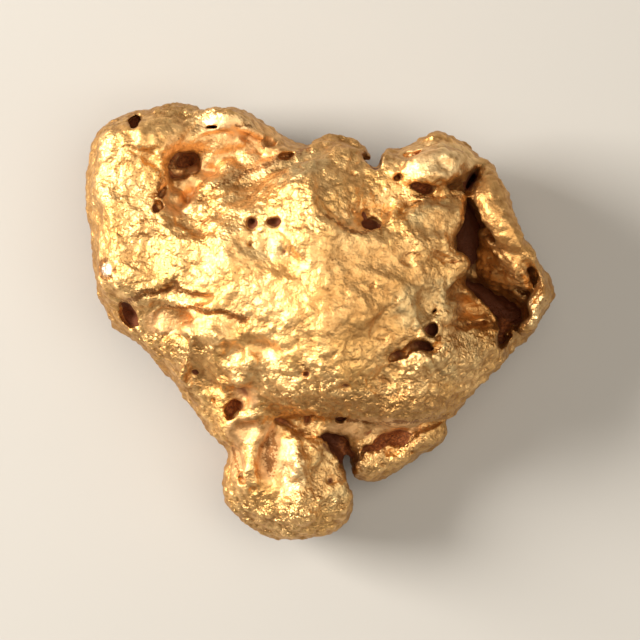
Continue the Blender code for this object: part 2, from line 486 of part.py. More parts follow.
def arm_side(gold):
    """The deep groove inside the arm, the striped slope rising from it, and the shoulder above."""
    gold.chasm([(7.85, 7.5, 0.14), (7.6, 7.1, 0.25), (7.15, 6.35, 0.14), (7.35, 5.6, 0.2), (7.5, 4.7, 0.5),
                (7.5, 3.8, 0.7), (8.0, 2.9, 0.7), (8.1, 1.9, 0.8), (9.0, 0.9, 0.6), (9.5, 0.3, 0.7)],
               floor=3.6)
    fibres = ((4.2, 5.7, 0.4), (3.8, 5.4, 0.35), (3.4, 5.2, 0.4), (3.0, 4.8, 0.35), (2.6, 4.6, 0.4),
              (2.2, 4.1, 0.3))
    for y, z, radius in fibres:
        middle = (9.1, 0.72 * y + 0.3, z + 0.8, 0.9 * radius)
        end = (10.95 - 0.25 * y, 0.45 * y + 0.55, z + 1.4, 0.8 * radius)
        gold.bar([(8.15, y, z, radius), middle, end], blend=0.3, add=True)
    for number in range(8):
        lift = 0.31 * number
        gold.ridge([(8.0, 2.0 + lift), (9.0, 1.75 + 0.75 * lift), (10.0, 1.45 + 0.45 * lift)],
                   half_width=0.12, height=0.2, blend=0.06)
    gold.chasm([(7.5, 1.75, 0.25), (8.3, 1.3, 0.38), (9.1, 0.75, 0.55), (9.7, 0.2, 0.6)], floor=2.3,
               blend=0.3)
    gold.chasm([(9.35, -0.3, 0.35), (9.05, -1.15, 0.22)], floor=2.2)
    gold.ridge([(7.8, 6.2), (8.6, 5.2), (9.4, 4.1), (10.3, 2.9)], half_width=0.5, height=0.25, blend=0.4)
    gold.swell(at=(5.5, 7.55), half=(1.5, 0.75), height=0.5, turn=18, blend=0.4)
    gold.swell(at=(5.6, 7.05), half=(1.2, 0.4), height=0.45, turn=4, blend=0.4)
    gold.swell(at=(3.5, 6.6), half=(1.6, 1.3), height=0.9, blend=0.6)
    gold.swell(at=(2.9, 6.3), half=(1.2, 1.5), height=0.5, blend=0.6)
    gold.bar([(3.9, 6.2, 7.2, 0.5), (5.2, 6.1, 7.55, 0.5), (6.3, 6.1, 7.55, 0.5), (6.9, 6.2, 7.3, 0.35)],
             blend=0.5, add=True)
    gold.groove([(4.3, 5.95), (5.2, 6.1), (6.2, 6.15), (6.95, 6.25)], half_width=0.13, depth=0.3)
    gold.ridge([(4.2, 7.3), (5.0, 7.8), (6.0, 8.2), (6.5, 7.8), (6.8, 7.3)], half_width=0.3, height=0.2,
               blend=0.4)
    gold.ridge([(3.15, 8.1), (4.1, 8.55), (5.2, 8.95), (5.9, 9.3)], half_width=0.22, height=0.3, blend=0.15)
    gold.groove([(3.9, 8.05), (4.6, 8.25), (5.2, 8.5)], half_width=0.22, depth=0.5)
    gold.ridge([(9.3, -0.75), (10.0, -0.35), (10.6, 0.15), (11.0, 0.7)], half_width=0.2, height=0.25,
               blend=0.12)


def neck(gold):
    """The narrow waist above the foot: a deep hole, a thin curved rim and torn slots."""
    gold.groove([(-4.3, -4.6), (-3.9, -3.9), (-3.4, -3.4)], half_width=0.6, depth=0.6, blend=0.5)
    gold.pit(at=(-4.35, -4.6), half=(0.62, 0.68), depth=1.2, turn=-20)
    gold.dish(at=(-3.8, -5.45), half=(0.85, 0.6), depth=0.5, blend=0.35)
    gold.ridge([(-4.7, -5.2), (-4.2, -4.9), (-3.7, -4.72), (-3.0, -4.7), (-2.6, -4.5), (-2.2, -4.75)], 0.16,
               0.2, blend=0.1)
    gold.groove([(-2.4, -4.8), (-1.75, -5.1), (-1.1, -5.55)], half_width=0.12, depth=0.5)
    gold.groove([(-0.9, -5.4), (-0.6, -5.0), (-0.1, -4.8), (0.5, -4.6)], half_width=0.13, depth=0.5)
    gold.groove([(-1.7, -5.7), (-0.9, -5.85), (-0.2, -5.9), (0.6, -5.7)], half_width=0.14, depth=0.6)


def lower_lobes(gold):
    """The foot's columns, the cavity between foot and crescent, and the crescent's slot."""
    gold.ridge([(-1.4, -5.9), (-1.1, -7.0), (-0.95, -8.0), (-0.85, -9.7)], half_width=0.7, height=0.35,
               blend=0.5)
    gold.press([(-1.05, -5.9), (-0.95, -7.0), (-0.8, -8.3), (-0.85, -9.8), (0.5, -9.8), (1.5, -8.6),
                (1.1, -7.2), (0.3, -6.1)], depth=0.6, fade=(0.25, -0.2), edge=0.5)
    gold.dish(at=(-2.2, -6.6), half=(0.75, 1.2), depth=0.45, turn=-8, blend=0.5)
    gold.groove([(-2.5, -5.7), (-2.7, -6.3), (-2.7, -7.0), (-2.5, -7.8)], half_width=0.32, depth=0.32,
                blend=0.35)
    gold.groove([(-4.4, -6.2), (-4.2, -7.0), (-4.05, -7.8)], half_width=0.3, depth=0.35, blend=0.35)
    gold.swell(at=(-0.5, -6.35), half=(0.35, 0.3), height=0.3, blend=0.2)
    gold.bar([(1.0, -5.5, 5.2, 0.25), (2.4, -5.5, 5.0, 0.3), (4.6, -5.4, 4.7, 0.25),
              (6.2, -5.0, 4.3, 0.15)], blend=0.15, add=False)
    gold.chasm([(0.4, -5.85, 0.35), (0.95, -6.2, 0.6), (1.3, -6.9, 0.32)], floor=2.9)
    gold.ridge([(0.55, -6.75), (0.85, -7.1), (1.1, -7.35)], half_width=0.13, height=0.3, blend=0.08)
    gold.ridge([(1.75, -7.35), (2.05, -7.15), (2.3, -6.75)], half_width=0.13, height=0.3, blend=0.08)
    gold.groove([(2.0, -6.9), (2.3, -6.5), (2.9, -6.3), (3.2, -6.0), (3.8, -6.0), (4.5, -5.75)],
                half_width=0.25, depth=0.8)
    gold.dish(at=(3.7, -6.6), half=(0.5, 0.22), depth=0.25, turn=12, blend=0.12)
    gold.dish(at=(4.8, -5.35), half=(0.3, 0.22), depth=0.25, blend=0.12)


# Pits on the upper side: place, half-widths, depth and turn in degrees.
PITS = (
    ((-6.9, 7.85), (0.78, 0.68), 1.7, 10), ((-5.35, 9.55), (0.36, 0.14), 2.6, 0),
    ((-9.2, 9.75), (0.34, 0.5), 1.5, -8), ((-7.75, 6.35), (0.22, 0.38), 0.7, -25),
    ((-7.95, 5.5), (0.26, 0.3), 0.6, 0), ((-6.55, 5.9), (0.24, 0.2), 0.7, -20),
    ((-2.4, 9.0), (0.27, 0.3), 1.0, 0), ((-1.6, 8.15), (0.45, 0.18), 0.8, 14),
    ((-9.45, 0.15), (0.62, 0.3), 1.1, -42), ((-3.3, 4.85), (0.5, 0.44), 0.9, -20),
    ((-2.3, 4.8), (0.34, 0.2), 0.7, 0), ((-0.7, -2.65), (0.2, 0.16), 0.45, 0),
    ((2.4, 4.62), (0.42, 0.27), 0.8, -8), ((2.2, 5.15), (0.12, 0.2), 0.4, 0),
    ((3.8, 6.97), (0.32, 0.28), 0.9, 0), ((5.0, 6.5), (0.62, 0.28), 1.1, -8),
    ((7.6, 7.0), (0.28, 0.38), 1.2, -25), ((5.9, 6.75), (0.28, 0.18), 0.3, 0),
    ((5.5, -0.4), (0.34, 0.42), 1.0, -15), ((5.65, 0.45), (0.36, 0.22), 0.7, 35),
    ((5.8, -0.9), (0.1, 0.14), 0.3, 0), ((1.0, -4.9), (0.33, 0.25), 0.7, 15),
    ((2.55, 1.65), (0.16, 0.15), 0.25, 0), ((2.05, 1.1), (0.11, 0.08), 0.2, 0),
    ((1.35, -3.35), (0.2, 0.15), 0.25, 0), ((-3.9, -7.98), (0.2, 0.15), 0.4, -25),
    ((0.62, -7.9), (0.19, 0.13), 0.3, 30),
)


# ------------------------------------------------------------------ underside and flanks
def worn_back(gold):
    """The hidden side: worn hollows, two long folds, and a scatter of swellings and pits."""
    gold.turn_over()
    gold.dish(at=(-4.8, 5.6), half=(2.6, 1.5), depth=0.8, turn=20, blend=0.6)
    gold.dish(at=(3.6, -1.4), half=(2.1, 1.3), depth=0.8, turn=-30, blend=0.6)
    gold.dish(at=(1.2, 6.2), half=(1.4, 0.9), depth=0.7, turn=15, blend=0.4)
    gold.dish(at=(-1.8, -8.3), half=(1.3, 0.8), depth=0.5, turn=70, blend=0.4)
    gold.dish(at=(8.2, 1.8), half=(1.2, 0.7), depth=0.6, turn=-55, blend=0.4)
    gold.groove([(-9.8, 3.2), (-7.6, 2.6), (-5.0, 1.6), (-2.6, 2.2), (-0.2, 3.4), (2.4, 3.0)], 0.45, 0.7,
                blend=0.4)
    gold.groove([(3.8, 6.6), (5.2, 5.0), (6.2, 3.2), (8.4, 3.6), (9.8, 3.2)], half_width=0.4, depth=0.7,
                blend=0.3)
    gold.groove([(-4.2, -5.4), (-2.6, -5.9), (-0.6, -5.6), (0.8, -6.2)], half_width=0.45, depth=0.8,
                blend=0.3)
    gold.ridge([(-6.6, -1.6), (-4.2, -2.6), (-1.6, -2.2), (0.6, -3.2)], half_width=0.8, height=0.35,
               blend=0.6)
    gold.ridge([(-8.6, 6.8), (-7.4, 8.2), (-5.2, 9.0), (-2.8, 8.4)], half_width=0.6, height=0.3, blend=0.5)
    random = np.random.default_rng(SEED + 20)
    for number in range(BACK_MARKS):
        place = random.uniform((-10, -10), (10, 10))
        wide = random.uniform(0.3, 1.0)
        narrow = wide * random.uniform(0.5, 1)
        turn = random.uniform(0, 180)
        if not gold.covers(place, wide):
            continue
        if number % 2:
            gold.swell(place, (wide, narrow), 0.3 * wide, turn, blend=0.4)
        else:
            gold.pit(place, (0.4 * wide, 0.4 * narrow), 0.6 * wide, turn)
    gold.turn_over()


def worn_flanks(gold):
    """Dents, swellings and pits round the sides, below the widest level."""
    random = np.random.default_rng(SEED + 30)
    for number in range(FLANK_MARKS):
        around = math.radians(137.5) * number
        target = Vector((0.3 * math.cos(around), 1.0 + 0.3 * math.sin(around), random.uniform(1.0, 3.0)))
        inward = Vector((-math.cos(around), -math.sin(around), random.uniform(-0.1, 0.25))).normalized()
        hit, outward = gold.strike(target - 20 * inward, inward)
        wide = random.uniform(0.4, 1.1)
        if hit is None or hit.z > FLANK_CEILING:
            continue
        turn = outward.to_track_quat("Z", "Y").to_matrix()
        if number % 3 == 0:
            gold.ball(hit + 0.9 * wide * outward, (1.2 * wide, 0.9 * wide, 1.2 * wide), turn, 0.35,
                      add=False)
        elif number % 3 == 1:
            gold.ball(hit - 0.7 * wide * outward, (1.1 * wide, 0.8 * wide, 0.85 * wide), turn, 0.4,
                      add=True)
        else:
            gold.ball(hit, (0.3 * wide, 0.22 * wide, 0.5 * wide), turn, 0.1, add=False)


def open_gaps(gold):
    """The gaps that go right through the outline: the northern bay, the rim's nick, and behind the foot."""
    gold.chasm([(2.3, 8.02, 0.2), (2.75, 7.74, 0.34), (2.83, 8.3, 0.42), (2.9, 9.6, 0.6)], floor=-1,
               blend=0.12)
    gold.chasm([(-5.9, 10.4, 0.12), (-5.9, 11.2, 0.25)], floor=-1, blend=0.1)
    gold.chasm([(1.47, -7.35, 0.13), (1.45, -7.6, 0.14), (1.6, -8.3, 0.2)], floor=-1, blend=0.1)


# ------------------------------------------------------------------ build
def cast():
    """The whole lump, as a field."""
    low = Vector((-LENGTH / 2, -WIDTH / 2, 0)) - Vector(ROOM_BEFORE)
    high = Vector((LENGTH / 2, WIDTH / 2, HEIGHT)) + Vector(ROOM_BEYOND)
    gold = Lump(low, high, GRID_STEP)
    for form in LOBES.values():
        gold.lobe(**form)
    gold.round_off(MELT_ROUNDING)
    for number, (spacing, height) in enumerate(FLOW):
        gold.flow(spacing, height, SEED + number)
    for region in (wing_and_basin, crown, lower_left, flakes, arm_side, neck, lower_lobes):
        region(gold)
    for place, half, depth, turn in PITS:
        gold.pit(place, half, depth, turn)
    worn_back(gold)
    worn_flanks(gold)
    open_gaps(gold)
    gold.flow(*FINE_FLOW, SEED + 9)
    gold.values = np.maximum(gold.values, -gold.axes[2][None, None, :])
    return gold


def skin(gold):
    """The field's surface as a mesh, in millimetres."""
    outside = np.ones(gold.values.shape, bool)
    outside[1:-1, 1:-1, 1:-1] = False
    grid = openvdb.FloatGrid(1.0)
    grid.copyFromArray(np.where(outside, 1.0, np.clip(gold.values, -1, 1)).astype(np.float32))
    points, _, quads = grid.convertToPolygons(0.0, 0.0)
    points = points * gold.step + np.array([axis[0] for axis in gold.axes])
    mesh = bpy.data.meshes.new("nugget")
    mesh.from_pydata((points * METRES).tolist(), [], quads.tolist())
    return mesh


def largest_shell(mesh):
    """Keeps only the outer shell, so that no sealed bubble or loose crumb is left."""
    work = bmesh.new()
    work.from_mesh(mesh)
    left = set(work.verts)
    shells = []
    while left:
        edge_of_shell = [left.pop()]
        shell = list(edge_of_shell)
        while edge_of_shell:
            vertex = edge_of_shell.pop()
            near = [edge.other_vert(vertex) for edge in vertex.link_edges]
            new = [other for other in near if other in left]
            left.difference_update(new)
            edge_of_shell.extend(new)
            shell.extend(new)
        shells.append(shell)
    shells.sort(key=len)
    for shell in shells[:-1]:
        bmesh.ops.delete(work, geom=shell, context="VERTS")
    bmesh.ops.recalc_face_normals(work, faces=work.faces)
    work.to_mesh(mesh)
    work.free()


def thin(item, triangles):
    """Reduces a mesh to about the given number of triangles."""
    reducer = item.modifiers.new("thin", "DECIMATE")
    reducer.ratio = triangles / (2 * len(item.data.polygons))
    reducer.use_collapse_triangulate = True
    view = bpy.context.evaluated_depsgraph_get()
    thinned = bpy.data.meshes.new_from_object(item.evaluated_get(view))
    item.modifiers.clear()
    item.data = thinned


def stand(mesh):
    """Levels the worn flats at z = 0 and centres the lump over the origin."""
    places = np.array([vertex.co for vertex in mesh.vertices])
    middle = (places.min(0) + places.max(0)) / 2
    places[:, :2] -= middle[:2]
    places[places[:, 2] < FLAT_SNAP * METRES, 2] = 0
    mesh.vertices.foreach_set("co", places.ravel())
    mesh.update()


def gold_metal():
    metal = bpy.data.materials.new("native gold")
    metal.use_nodes = True
    shader = metal.node_tree.nodes["Principled BSDF"]
    shader.inputs["Base Color"].default_value = GOLD
    shader.inputs["Metallic"].default_value = 1.0
    shader.inputs["Roughness"].default_value = GOLD_ROUGHNESS
    return metal


def build_nugget():
    nugget = bpy.data.objects.new("nugget", skin(cast()))
    bpy.context.scene.collection.objects.link(nugget)
    largest_shell(nugget.data)
    thin(nugget, TRIANGLES)
    stand(nugget.data)
    nugget.data.materials.append(gold_metal())
    nugget.data.shade_smooth()


for old in list(bpy.data.objects):
    bpy.data.objects.remove(old)
build_nugget()
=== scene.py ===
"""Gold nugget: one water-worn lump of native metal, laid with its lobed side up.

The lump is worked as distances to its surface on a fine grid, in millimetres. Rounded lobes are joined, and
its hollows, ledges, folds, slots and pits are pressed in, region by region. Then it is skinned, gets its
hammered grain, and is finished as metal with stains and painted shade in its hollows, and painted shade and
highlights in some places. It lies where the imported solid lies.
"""

import math

import bpy
import numpy as np
import openvdb
from mathutils import Matrix, Vector, noise


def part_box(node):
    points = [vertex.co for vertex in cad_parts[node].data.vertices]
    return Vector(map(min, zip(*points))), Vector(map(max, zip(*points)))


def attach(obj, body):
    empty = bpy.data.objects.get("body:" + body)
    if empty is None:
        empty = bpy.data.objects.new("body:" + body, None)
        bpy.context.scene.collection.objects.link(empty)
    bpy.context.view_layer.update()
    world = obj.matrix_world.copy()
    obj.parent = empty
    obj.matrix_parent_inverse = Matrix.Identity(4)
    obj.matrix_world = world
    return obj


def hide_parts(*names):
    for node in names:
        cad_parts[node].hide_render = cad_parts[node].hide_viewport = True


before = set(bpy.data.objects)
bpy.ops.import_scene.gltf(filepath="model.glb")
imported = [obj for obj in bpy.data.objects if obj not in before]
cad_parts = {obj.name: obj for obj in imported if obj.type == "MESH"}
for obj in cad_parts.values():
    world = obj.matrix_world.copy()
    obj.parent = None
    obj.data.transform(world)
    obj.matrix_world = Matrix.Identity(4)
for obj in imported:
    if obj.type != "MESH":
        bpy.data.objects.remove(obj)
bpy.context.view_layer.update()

# ---------------- the mass of metal
# The nugget is one piece of native gold. River stones have hammered it into rounded lobes that run into
# each other: a boss, a wing, a foot, a crescent, a shoulder and a side arm. Each is a lump with an outline,
# which rises and falls from a level, over a rim, and blends with the ones before it.
LENGTH = 23.6
WIDTH = 21.9
HEIGHT = 10.7
ROOM_BEFORE = (0.7, 0.7, 0.8)
ROOM_BEYOND = (0.7, 0.7, 1.1)
STEP = 0.1
METRES = 0.001
LOBES = {
    "underside": dict(
        outline=[(-10.5, 6.6), (-10.2, 8.6), (-8.0, 9.8), (-5.0, 9.8), (-1.5, 8.4), (1.0, 8.4), (4.0, 7.6),
                 (6.4, 8.2), (8.6, 6.0), (10.2, 3.0), (10.3, 0.8), (8.2, -1.8), (6.0, -4.2), (3.0, -6.3),
                 (1.2, -7.0), (-1.0, -6.9), (-4.0, -6.2), (-6.2, -3.6), (-8.8, -0.6), (-10.2, 2.0)],
        level=3.1, rise=1.9, fall=2.95, rim=3.2, slope=(0, 0), blend=0),
    "boss": dict(
        outline=[(-8.6, 3.6), (-6.9, 5.6), (-4.6, 6.9), (-1.4, 8.1), (0.6, 9.2), (2.3, 8.9), (2.8, 7.5),
                 (4.4, 6.2), (6.6, 6.2), (7.1, 5.0), (6.9, 3.4), (7.1, 2.0), (7.5, 0.4), (8.0, -0.8),
                 (7.3, -2.6), (6.0, -3.8), (3.0, -4.3), (0.0, -4.3), (-2.6, -4.1), (-4.6, -4.0),
                 (-6.6, -2.6), (-8.2, 0.4)],
        level=4.8, rise=5.5, fall=4.2, rim=5.4, slope=(0.03, 0), blend=1.0),
    "brow": dict(
        outline=[(-3.4, -3.4), (-1.4, -4.4), (0.3, -4.85), (1.8, -5.05), (3.4, -5.15), (5.2, -5.05),
                 (6.6, -4.65), (7.9, -3.25), (8.9, -2.2), (9.1, -0.9), (8.3, -0.2), (6.0, -0.6),
                 (3.6, -1.2), (0.5, -1.0), (-2.2, -1.6)],
        level=6.0, rise=2.4, fall=1.9, rim=1.9, slope=(-0.2, 0.1), blend=1.0),
    "wing": dict(
        outline=[(-11.8, 6.6), (-11.85, 8.0), (-11.0, 9.65), (-8.9, 10.6), (-7.4, 10.55), (-6.6, 10.0),
                 (-6.6, 8.0), (-6.8, 6.6), (-6.3, 5.0), (-5.6, 2.4), (-6.6, 0.9), (-8.9, -0.35),
                 (-10.05, 0.35), (-11.0, 1.4), (-11.1, 3.05), (-11.45, 4.6)],
        level=3.9, rise=3.6, fall=3.0, rim=1.6, slope=(0.12, -0.03), blend=1.2),
    "north rim": dict(
        outline=[(-8.2, 10.3), (-6.6, 10.6), (-5.9, 10.35), (-5.2, 10.65), (-4.1, 10.55), (-3.0, 9.8),
                 (-1.9, 9.0), (-0.9, 8.5), (-0.4, 7.6), (-2.6, 6.6), (-5.6, 6.0), (-8.2, 6.6), (-8.8, 8.6)],
        level=3.7, rise=2.9, fall=2.6, rim=1.5, slope=(0, 0), blend=0.7),
    "flank": dict(
        outline=[(-10.2, 0.15), (-9.0, -1.55), (-6.85, -3.35), (-5.5, -4.9), (-4.6, -6.35), (-2.6, -6.8),
                 (-1.8, -4.6), (-3.0, -1.0), (-5.0, 1.6), (-8.0, 2.2)],
        level=3.5, rise=3.4, fall=2.7, rim=2.2, slope=(0.10, 0.06), blend=1.0),
    "foot": dict(
        outline=[(-4.7, -6.6), (-5.15, -7.6), (-5.0, -8.7), (-4.15, -9.9), (-2.5, -10.7), (-0.6, -10.88),
                 (0.8, -10.58), (1.55, -9.85), (1.6, -8.8), (1.35, -7.6), (0.5, -6.3), (-0.4, -5.6),
                 (-2.4, -5.2), (-4.2, -5.6)],
        level=3.2, rise=3.0, fall=2.6, rim=2.0, slope=(0.0, 0.12), blend=0.6),
    "crescent": dict(
        outline=[(1.5, -7.5), (2.0, -8.05), (3.1, -8.15), (4.75, -7.5), (6.05, -6.3), (6.55, -4.9),
                 (7.4, -3.8), (8.8, -2.3), (8.2, -1.4), (5.0, -3.0), (2.6, -4.4), (1.9, -5.6)],
        level=2.8, rise=1.9, fall=2.0, rim=1.2, slope=(0, 0.05), blend=0.4),
    "shoulder": dict(
        outline=[(3.0, 7.95), (4.0, 8.4), (5.2, 8.85), (5.8, 9.3), (7.0, 8.7), (8.0, 7.8), (8.2, 7.2),
                 (7.2, 6.5), (5.6, 5.9), (4.2, 6.3), (3.3, 7.1)],
        level=4.7, rise=3.6, fall=3.3, rim=1.8, slope=(0.12, -0.14), blend=0.5),
    "arm": dict(
        outline=[(7.3, 6.6), (8.3, 7.9), (9.5, 6.8), (9.9, 5.5), (10.3, 4.5), (11.2, 3.2), (11.85, 1.7),
                 (11.75, 0.6), (10.3, -0.55), (9.7, 0.4), (10.2, 1.6), (9.6, 2.6), (8.6, 3.8), (7.8, 5.0),
                 (7.25, 6.0)],
        level=4.6, rise=3.4, fall=3.0, rim=1.2, slope=(-0.14, 0.0), blend=0.4),
    "corner": dict(
        outline=[(7.2, 3.6), (9.0, 3.6), (10.8, 2.2), (11.4, 1.1), (10.9, -0.1), (10.15, -1.1),
                 (9.3, -1.75), (8.0, -1.6), (7.0, 0.6)],
        level=2.8, rise=2.2, fall=2.2, rim=1.4, slope=(0, 0), blend=0.4),
}
MELT_ROUNDING = 0.25
FAR_OFF = 5.0
FOLD_SOFTENING = 0.16
FOLD_DEPTH = 0.45
LOBE_MARGIN = 0.6

# Uneven flow of the metal: spacing and height of each size of swelling.
FLOW = ((2.8, 0.62), (1.5, 0.6))
SEED = 41

low = Vector((-LENGTH / 2, -WIDTH / 2, 0)) - Vector(ROOM_BEFORE)
high = Vector((LENGTH / 2, WIDTH / 2, HEIGHT)) + Vector(ROOM_BEYOND)
extents = [b - a for a, b in zip(low, high)]
axes = [np.arange(a, b, STEP, dtype=np.float32) for a, b in zip(low, high)]
metal = np.full([len(axis) for axis in axes], FAR_OFF, np.float32)


def smooth_min(first, second, blend):
    """The smaller of two distances, rounded over where they are within blend of each other."""
    if blend <= 0:
        return np.minimum(first, second)
    share = np.clip(0.5 + 0.5 * (second - first) / blend, 0, 1)
    return second + (first - second) * share - blend * share * (1 - share)


def closed_curve(corners, steps=6):
    """Points along a smooth closed curve through the corners."""
    here = np.array(corners, np.float32)
    before, after, beyond = np.roll(here, 1, 0), np.roll(here, -1, 0), np.roll(here, -2, 0)
    t = (np.arange(steps, dtype=np.float32) / steps)[:, None, None]
    linear = (after - before) * t
    square = (2 * before - 5 * here + 4 * after - beyond) * t**2
    cubic = (3 * here - before - 3 * after + beyond) * t**3
    return (here + 0.5 * (linear + square + cubic)).transpose(1, 0, 2).reshape(-1, 2)


def outline_distance(x, y, corners):
    """Distance in the plane to a closed outline, negative inside it."""
    nearest = np.full(np.broadcast(x, y).shape, 1e9, np.float32)
    inside = np.zeros(nearest.shape, bool)
    for (ax, ay), (bx, by) in zip(corners, np.roll(corners, -1, 0)):
        run, climb = bx - ax, by - ay
        t = np.clip(((x - ax) * run + (y - ay) * climb) / max(run**2 + climb**2, 1e-9), 0, 1)
        np.minimum(nearest, (x - ax - t * run) ** 2 + (y - ay - t * climb) ** 2, out=nearest)
        if ay != by:
            crossed = (y >= min(ay, by)) & (y < max(ay, by))
            inside ^= crossed & (x < ax + (y - ay) / climb * run)
    return np.where(inside, -1, 1) * np.sqrt(nearest)


def box_blur(values, reach, axis):
    """Running mean over reach cells on each side, along one axis."""
    pad = [(0, 0)] * values.ndim
    pad[axis] = (reach + 1, reach)
    total = np.cumsum(np.pad(values, pad, mode="edge"), axis=axis, dtype=np.float64)
    width = 2 * reach + 1
    size = values.shape[axis]
    mean = np.take(total, range(width, width + size), axis) - np.take(total, range(size), axis)
    return (mean / width).astype(np.float32)


def oval_distance(parts, radii):
    """Distance to an ellipse or ellipsoid, from the offsets along its axes."""
    scaled = np.sqrt(sum((part / radius) ** 2 for part, radius in zip(parts, radii)))
    steep = np.sqrt(sum((part / radius**2) ** 2 for part, radius in zip(parts, radii)))
    return (scaled - 1) * scaled / np.maximum(steep, 1e-4)


def window(low, high, margin):
    """The part of the grid in a box, and its coordinates."""
    spans = []
    for axis, a, b in zip(axes, low, high):
        first, last = np.searchsorted(axis, (a - margin, b + margin))
        spans.append(slice(first, max(last, first + 1)))
    x, y, z = (axis[span] for axis, span in zip(axes, spans))
    return tuple(spans), x[:, None, None], y[None, :, None], z[None, None, :]


def join(at, distance, blend):
    metal[at] = smooth_min(metal[at], distance, blend)


def cut(at, distance, blend):
    metal[at] = -smooth_min(-metal[at], distance, blend)


def soft_inside(flat, rim):
    """An outline's distance with the crease along its middle line smoothed away."""
    reach = max(int(FOLD_SOFTENING * rim / STEP), 1)
    soft = flat
    for _ in range(3):
        soft = box_blur(box_blur(soft, reach, 0), reach, 1)
    depth = np.clip(-flat / (FOLD_DEPTH * rim), 0, 1)
    return flat + (soft - flat) * depth * depth * (3 - 2 * depth)


def lobe(outline, level, rise, fall, rim, slope, blend):
    """Joins a rounded lump with a given outline, whose level slopes along x and y."""
    curve = closed_curve(outline)
    middle = curve.mean(0)
    tilt = np.abs(slope) @ np.ptp(curve, 0) / 2
    low, high = (*curve.min(0), level - fall - tilt), (*curve.max(0), level + rise + tilt)
    at, x, y, z = window(low, high, blend + LOBE_MARGIN)
    flat = soft_inside(outline_distance(x[:, :, 0], y[:, :, 0], curve), rim)[:, :, None]
    lift = z - level - slope[0] * (x - middle[0]) - slope[1] * (y - middle[1])
    reach = np.where(lift > 0, np.float32(rise), np.float32(fall))
    join(at, oval_distance((np.maximum(flat + rim, 0), lift), (rim, reach)), blend)


def round_off(reach):
    """Softens every edge by a running mean over the given reach."""
    cells = max(int(reach / STEP), 1)
    for axis in range(3):
        metal[:] = box_blur(metal, cells, axis)


def smooth_random(spacing, seed):
    """Smooth random values over the grid, from a lattice of the given spacing."""
    random = np.random.default_rng(seed)
    weights = []
    for axis, extent in zip(axes, extents):
        place = (axis - axis[0]) / spacing
        cell = place.astype(int)
        t = place - cell
        table = np.zeros((len(axis), int(extent / spacing) + 4), np.float32)
        shares = ((1 - t) ** 3, 3 * t**3 - 6 * t**2 + 4, -3 * t**3 + 3 * t**2 + 3 * t + 1, t**3)
        for step, share in enumerate(shares):
            table[np.arange(len(axis)), cell + step] = share / 6
        weights.append(table)
    values = random.uniform(-1, 1, [table.shape[1] for table in weights]).astype(np.float32)
    for table in weights:
        values = np.tensordot(values, table, (0, 1))
    return values


for form in LOBES.values():
    lobe(**form)
round_off(MELT_ROUNDING)
for number, (spacing, height) in enumerate(FLOW):
    metal += height * smooth_random(spacing, SEED + number)


# ---------------- the wing and its basin
# A smooth basin lies between the wing and the boss, where the metal froze round a pebble. Its floor has
# low domes, and a thin folded rim closes it to the north. Its marks are worked into the surface in turn: a
# dish or a swelling, a groove or a ridge along a path, or a pressed area.
WANDER = 0.7
WANDER_LENGTH = 0.8
END_SIZE = 0.3
TAPER = 2.5
RAGGED = 0.9
RAGGED_SPACING = 0.45
EDGE_LEVEL = 3.0
# A cap is the end of an ellipsoid: these are shares of its height and of its half-widths at the surface.
CAP_RADIUS = 2.5
CAP_CENTRE = 1.5
CAP_SHARE = 0.8
MARK_MARGIN = 0.4
LINE_MARGIN = 0.3
LINE_ROOM = 0.6
CHASM_ROUNDING = 0.8
DOMES = ((-5.4, 7.95, 0.65), (-4.5, 7.5, 0.5), (-4.9, 8.8, 0.5), (-3.5, 8.0, 0.55), (-4.0, 8.9, 0.45),
         (-2.6, 8.5, 0.45), (-2.0, 8.35, 0.35), (-6.8, 6.7, 0.4), (-7.2, 6.0, 0.35), (-6.4, 5.5, 0.35))
ragged = smooth_random(RAGGED_SPACING, SEED + 5)


def top(place):
    """Height of the upper surface over a place."""
    i, j = (int(round((v - axis[0]) / STEP)) for v, axis in zip(place, axes))
    column = metal[i, j]
    pocket_shade_fill = np.nonzero(column < 0)[0]
    if not len(pocket_shade_fill):
        return EDGE_LEVEL
    k = min(pocket_shade_fill[-1], len(column) - 2)
    return float(axes[2][k] + STEP * column[k] / (column[k] - column[k + 1]))


def ball(centre, radii, turn, blend, add, wobble=0):
    """Joins or cuts an ellipsoid, turned by a matrix."""
    directions = np.array(turn, np.float32)
    reach = np.sqrt(((directions * np.array(radii, np.float32)) ** 2).sum(1))
    at, x, y, z = window(centre - Vector(reach), centre + Vector(reach), blend + MARK_MARGIN)
    offsets = (x - centre[0], y - centre[1], z - centre[2])
    along = [sum(offset * part for offset, part in zip(offsets, axis)) for axis in directions.T]
    distance = oval_distance(along, radii) + wobble * ragged[at]
    (join if add else cut)(at, distance, blend)


def cap(at, half, height, turn, blend, add):
    """Joins or cuts the flat end of an ellipsoid at the upper surface."""
    centre = Vector((*at, top(at) + (-CAP_CENTRE if add else CAP_CENTRE) * height))
    radii = (half[0] / CAP_SHARE, half[1] / CAP_SHARE, CAP_RADIUS * height)
    ball(centre, radii, Matrix.Rotation(math.radians(turn), 3, "Z"), blend, add)


def dish(at, half, depth, turn=0, blend=0.35):
    """A shallow hollow in the upper surface, of given half-widths, turned by some degrees."""
    cap(at, half, depth, turn, blend, add=False)


def swell(at, half, height, turn=0, blend=0.25):
    """A low bump on the upper surface, of given half-widths."""
    cap(at, half, height, turn, blend, add=True)


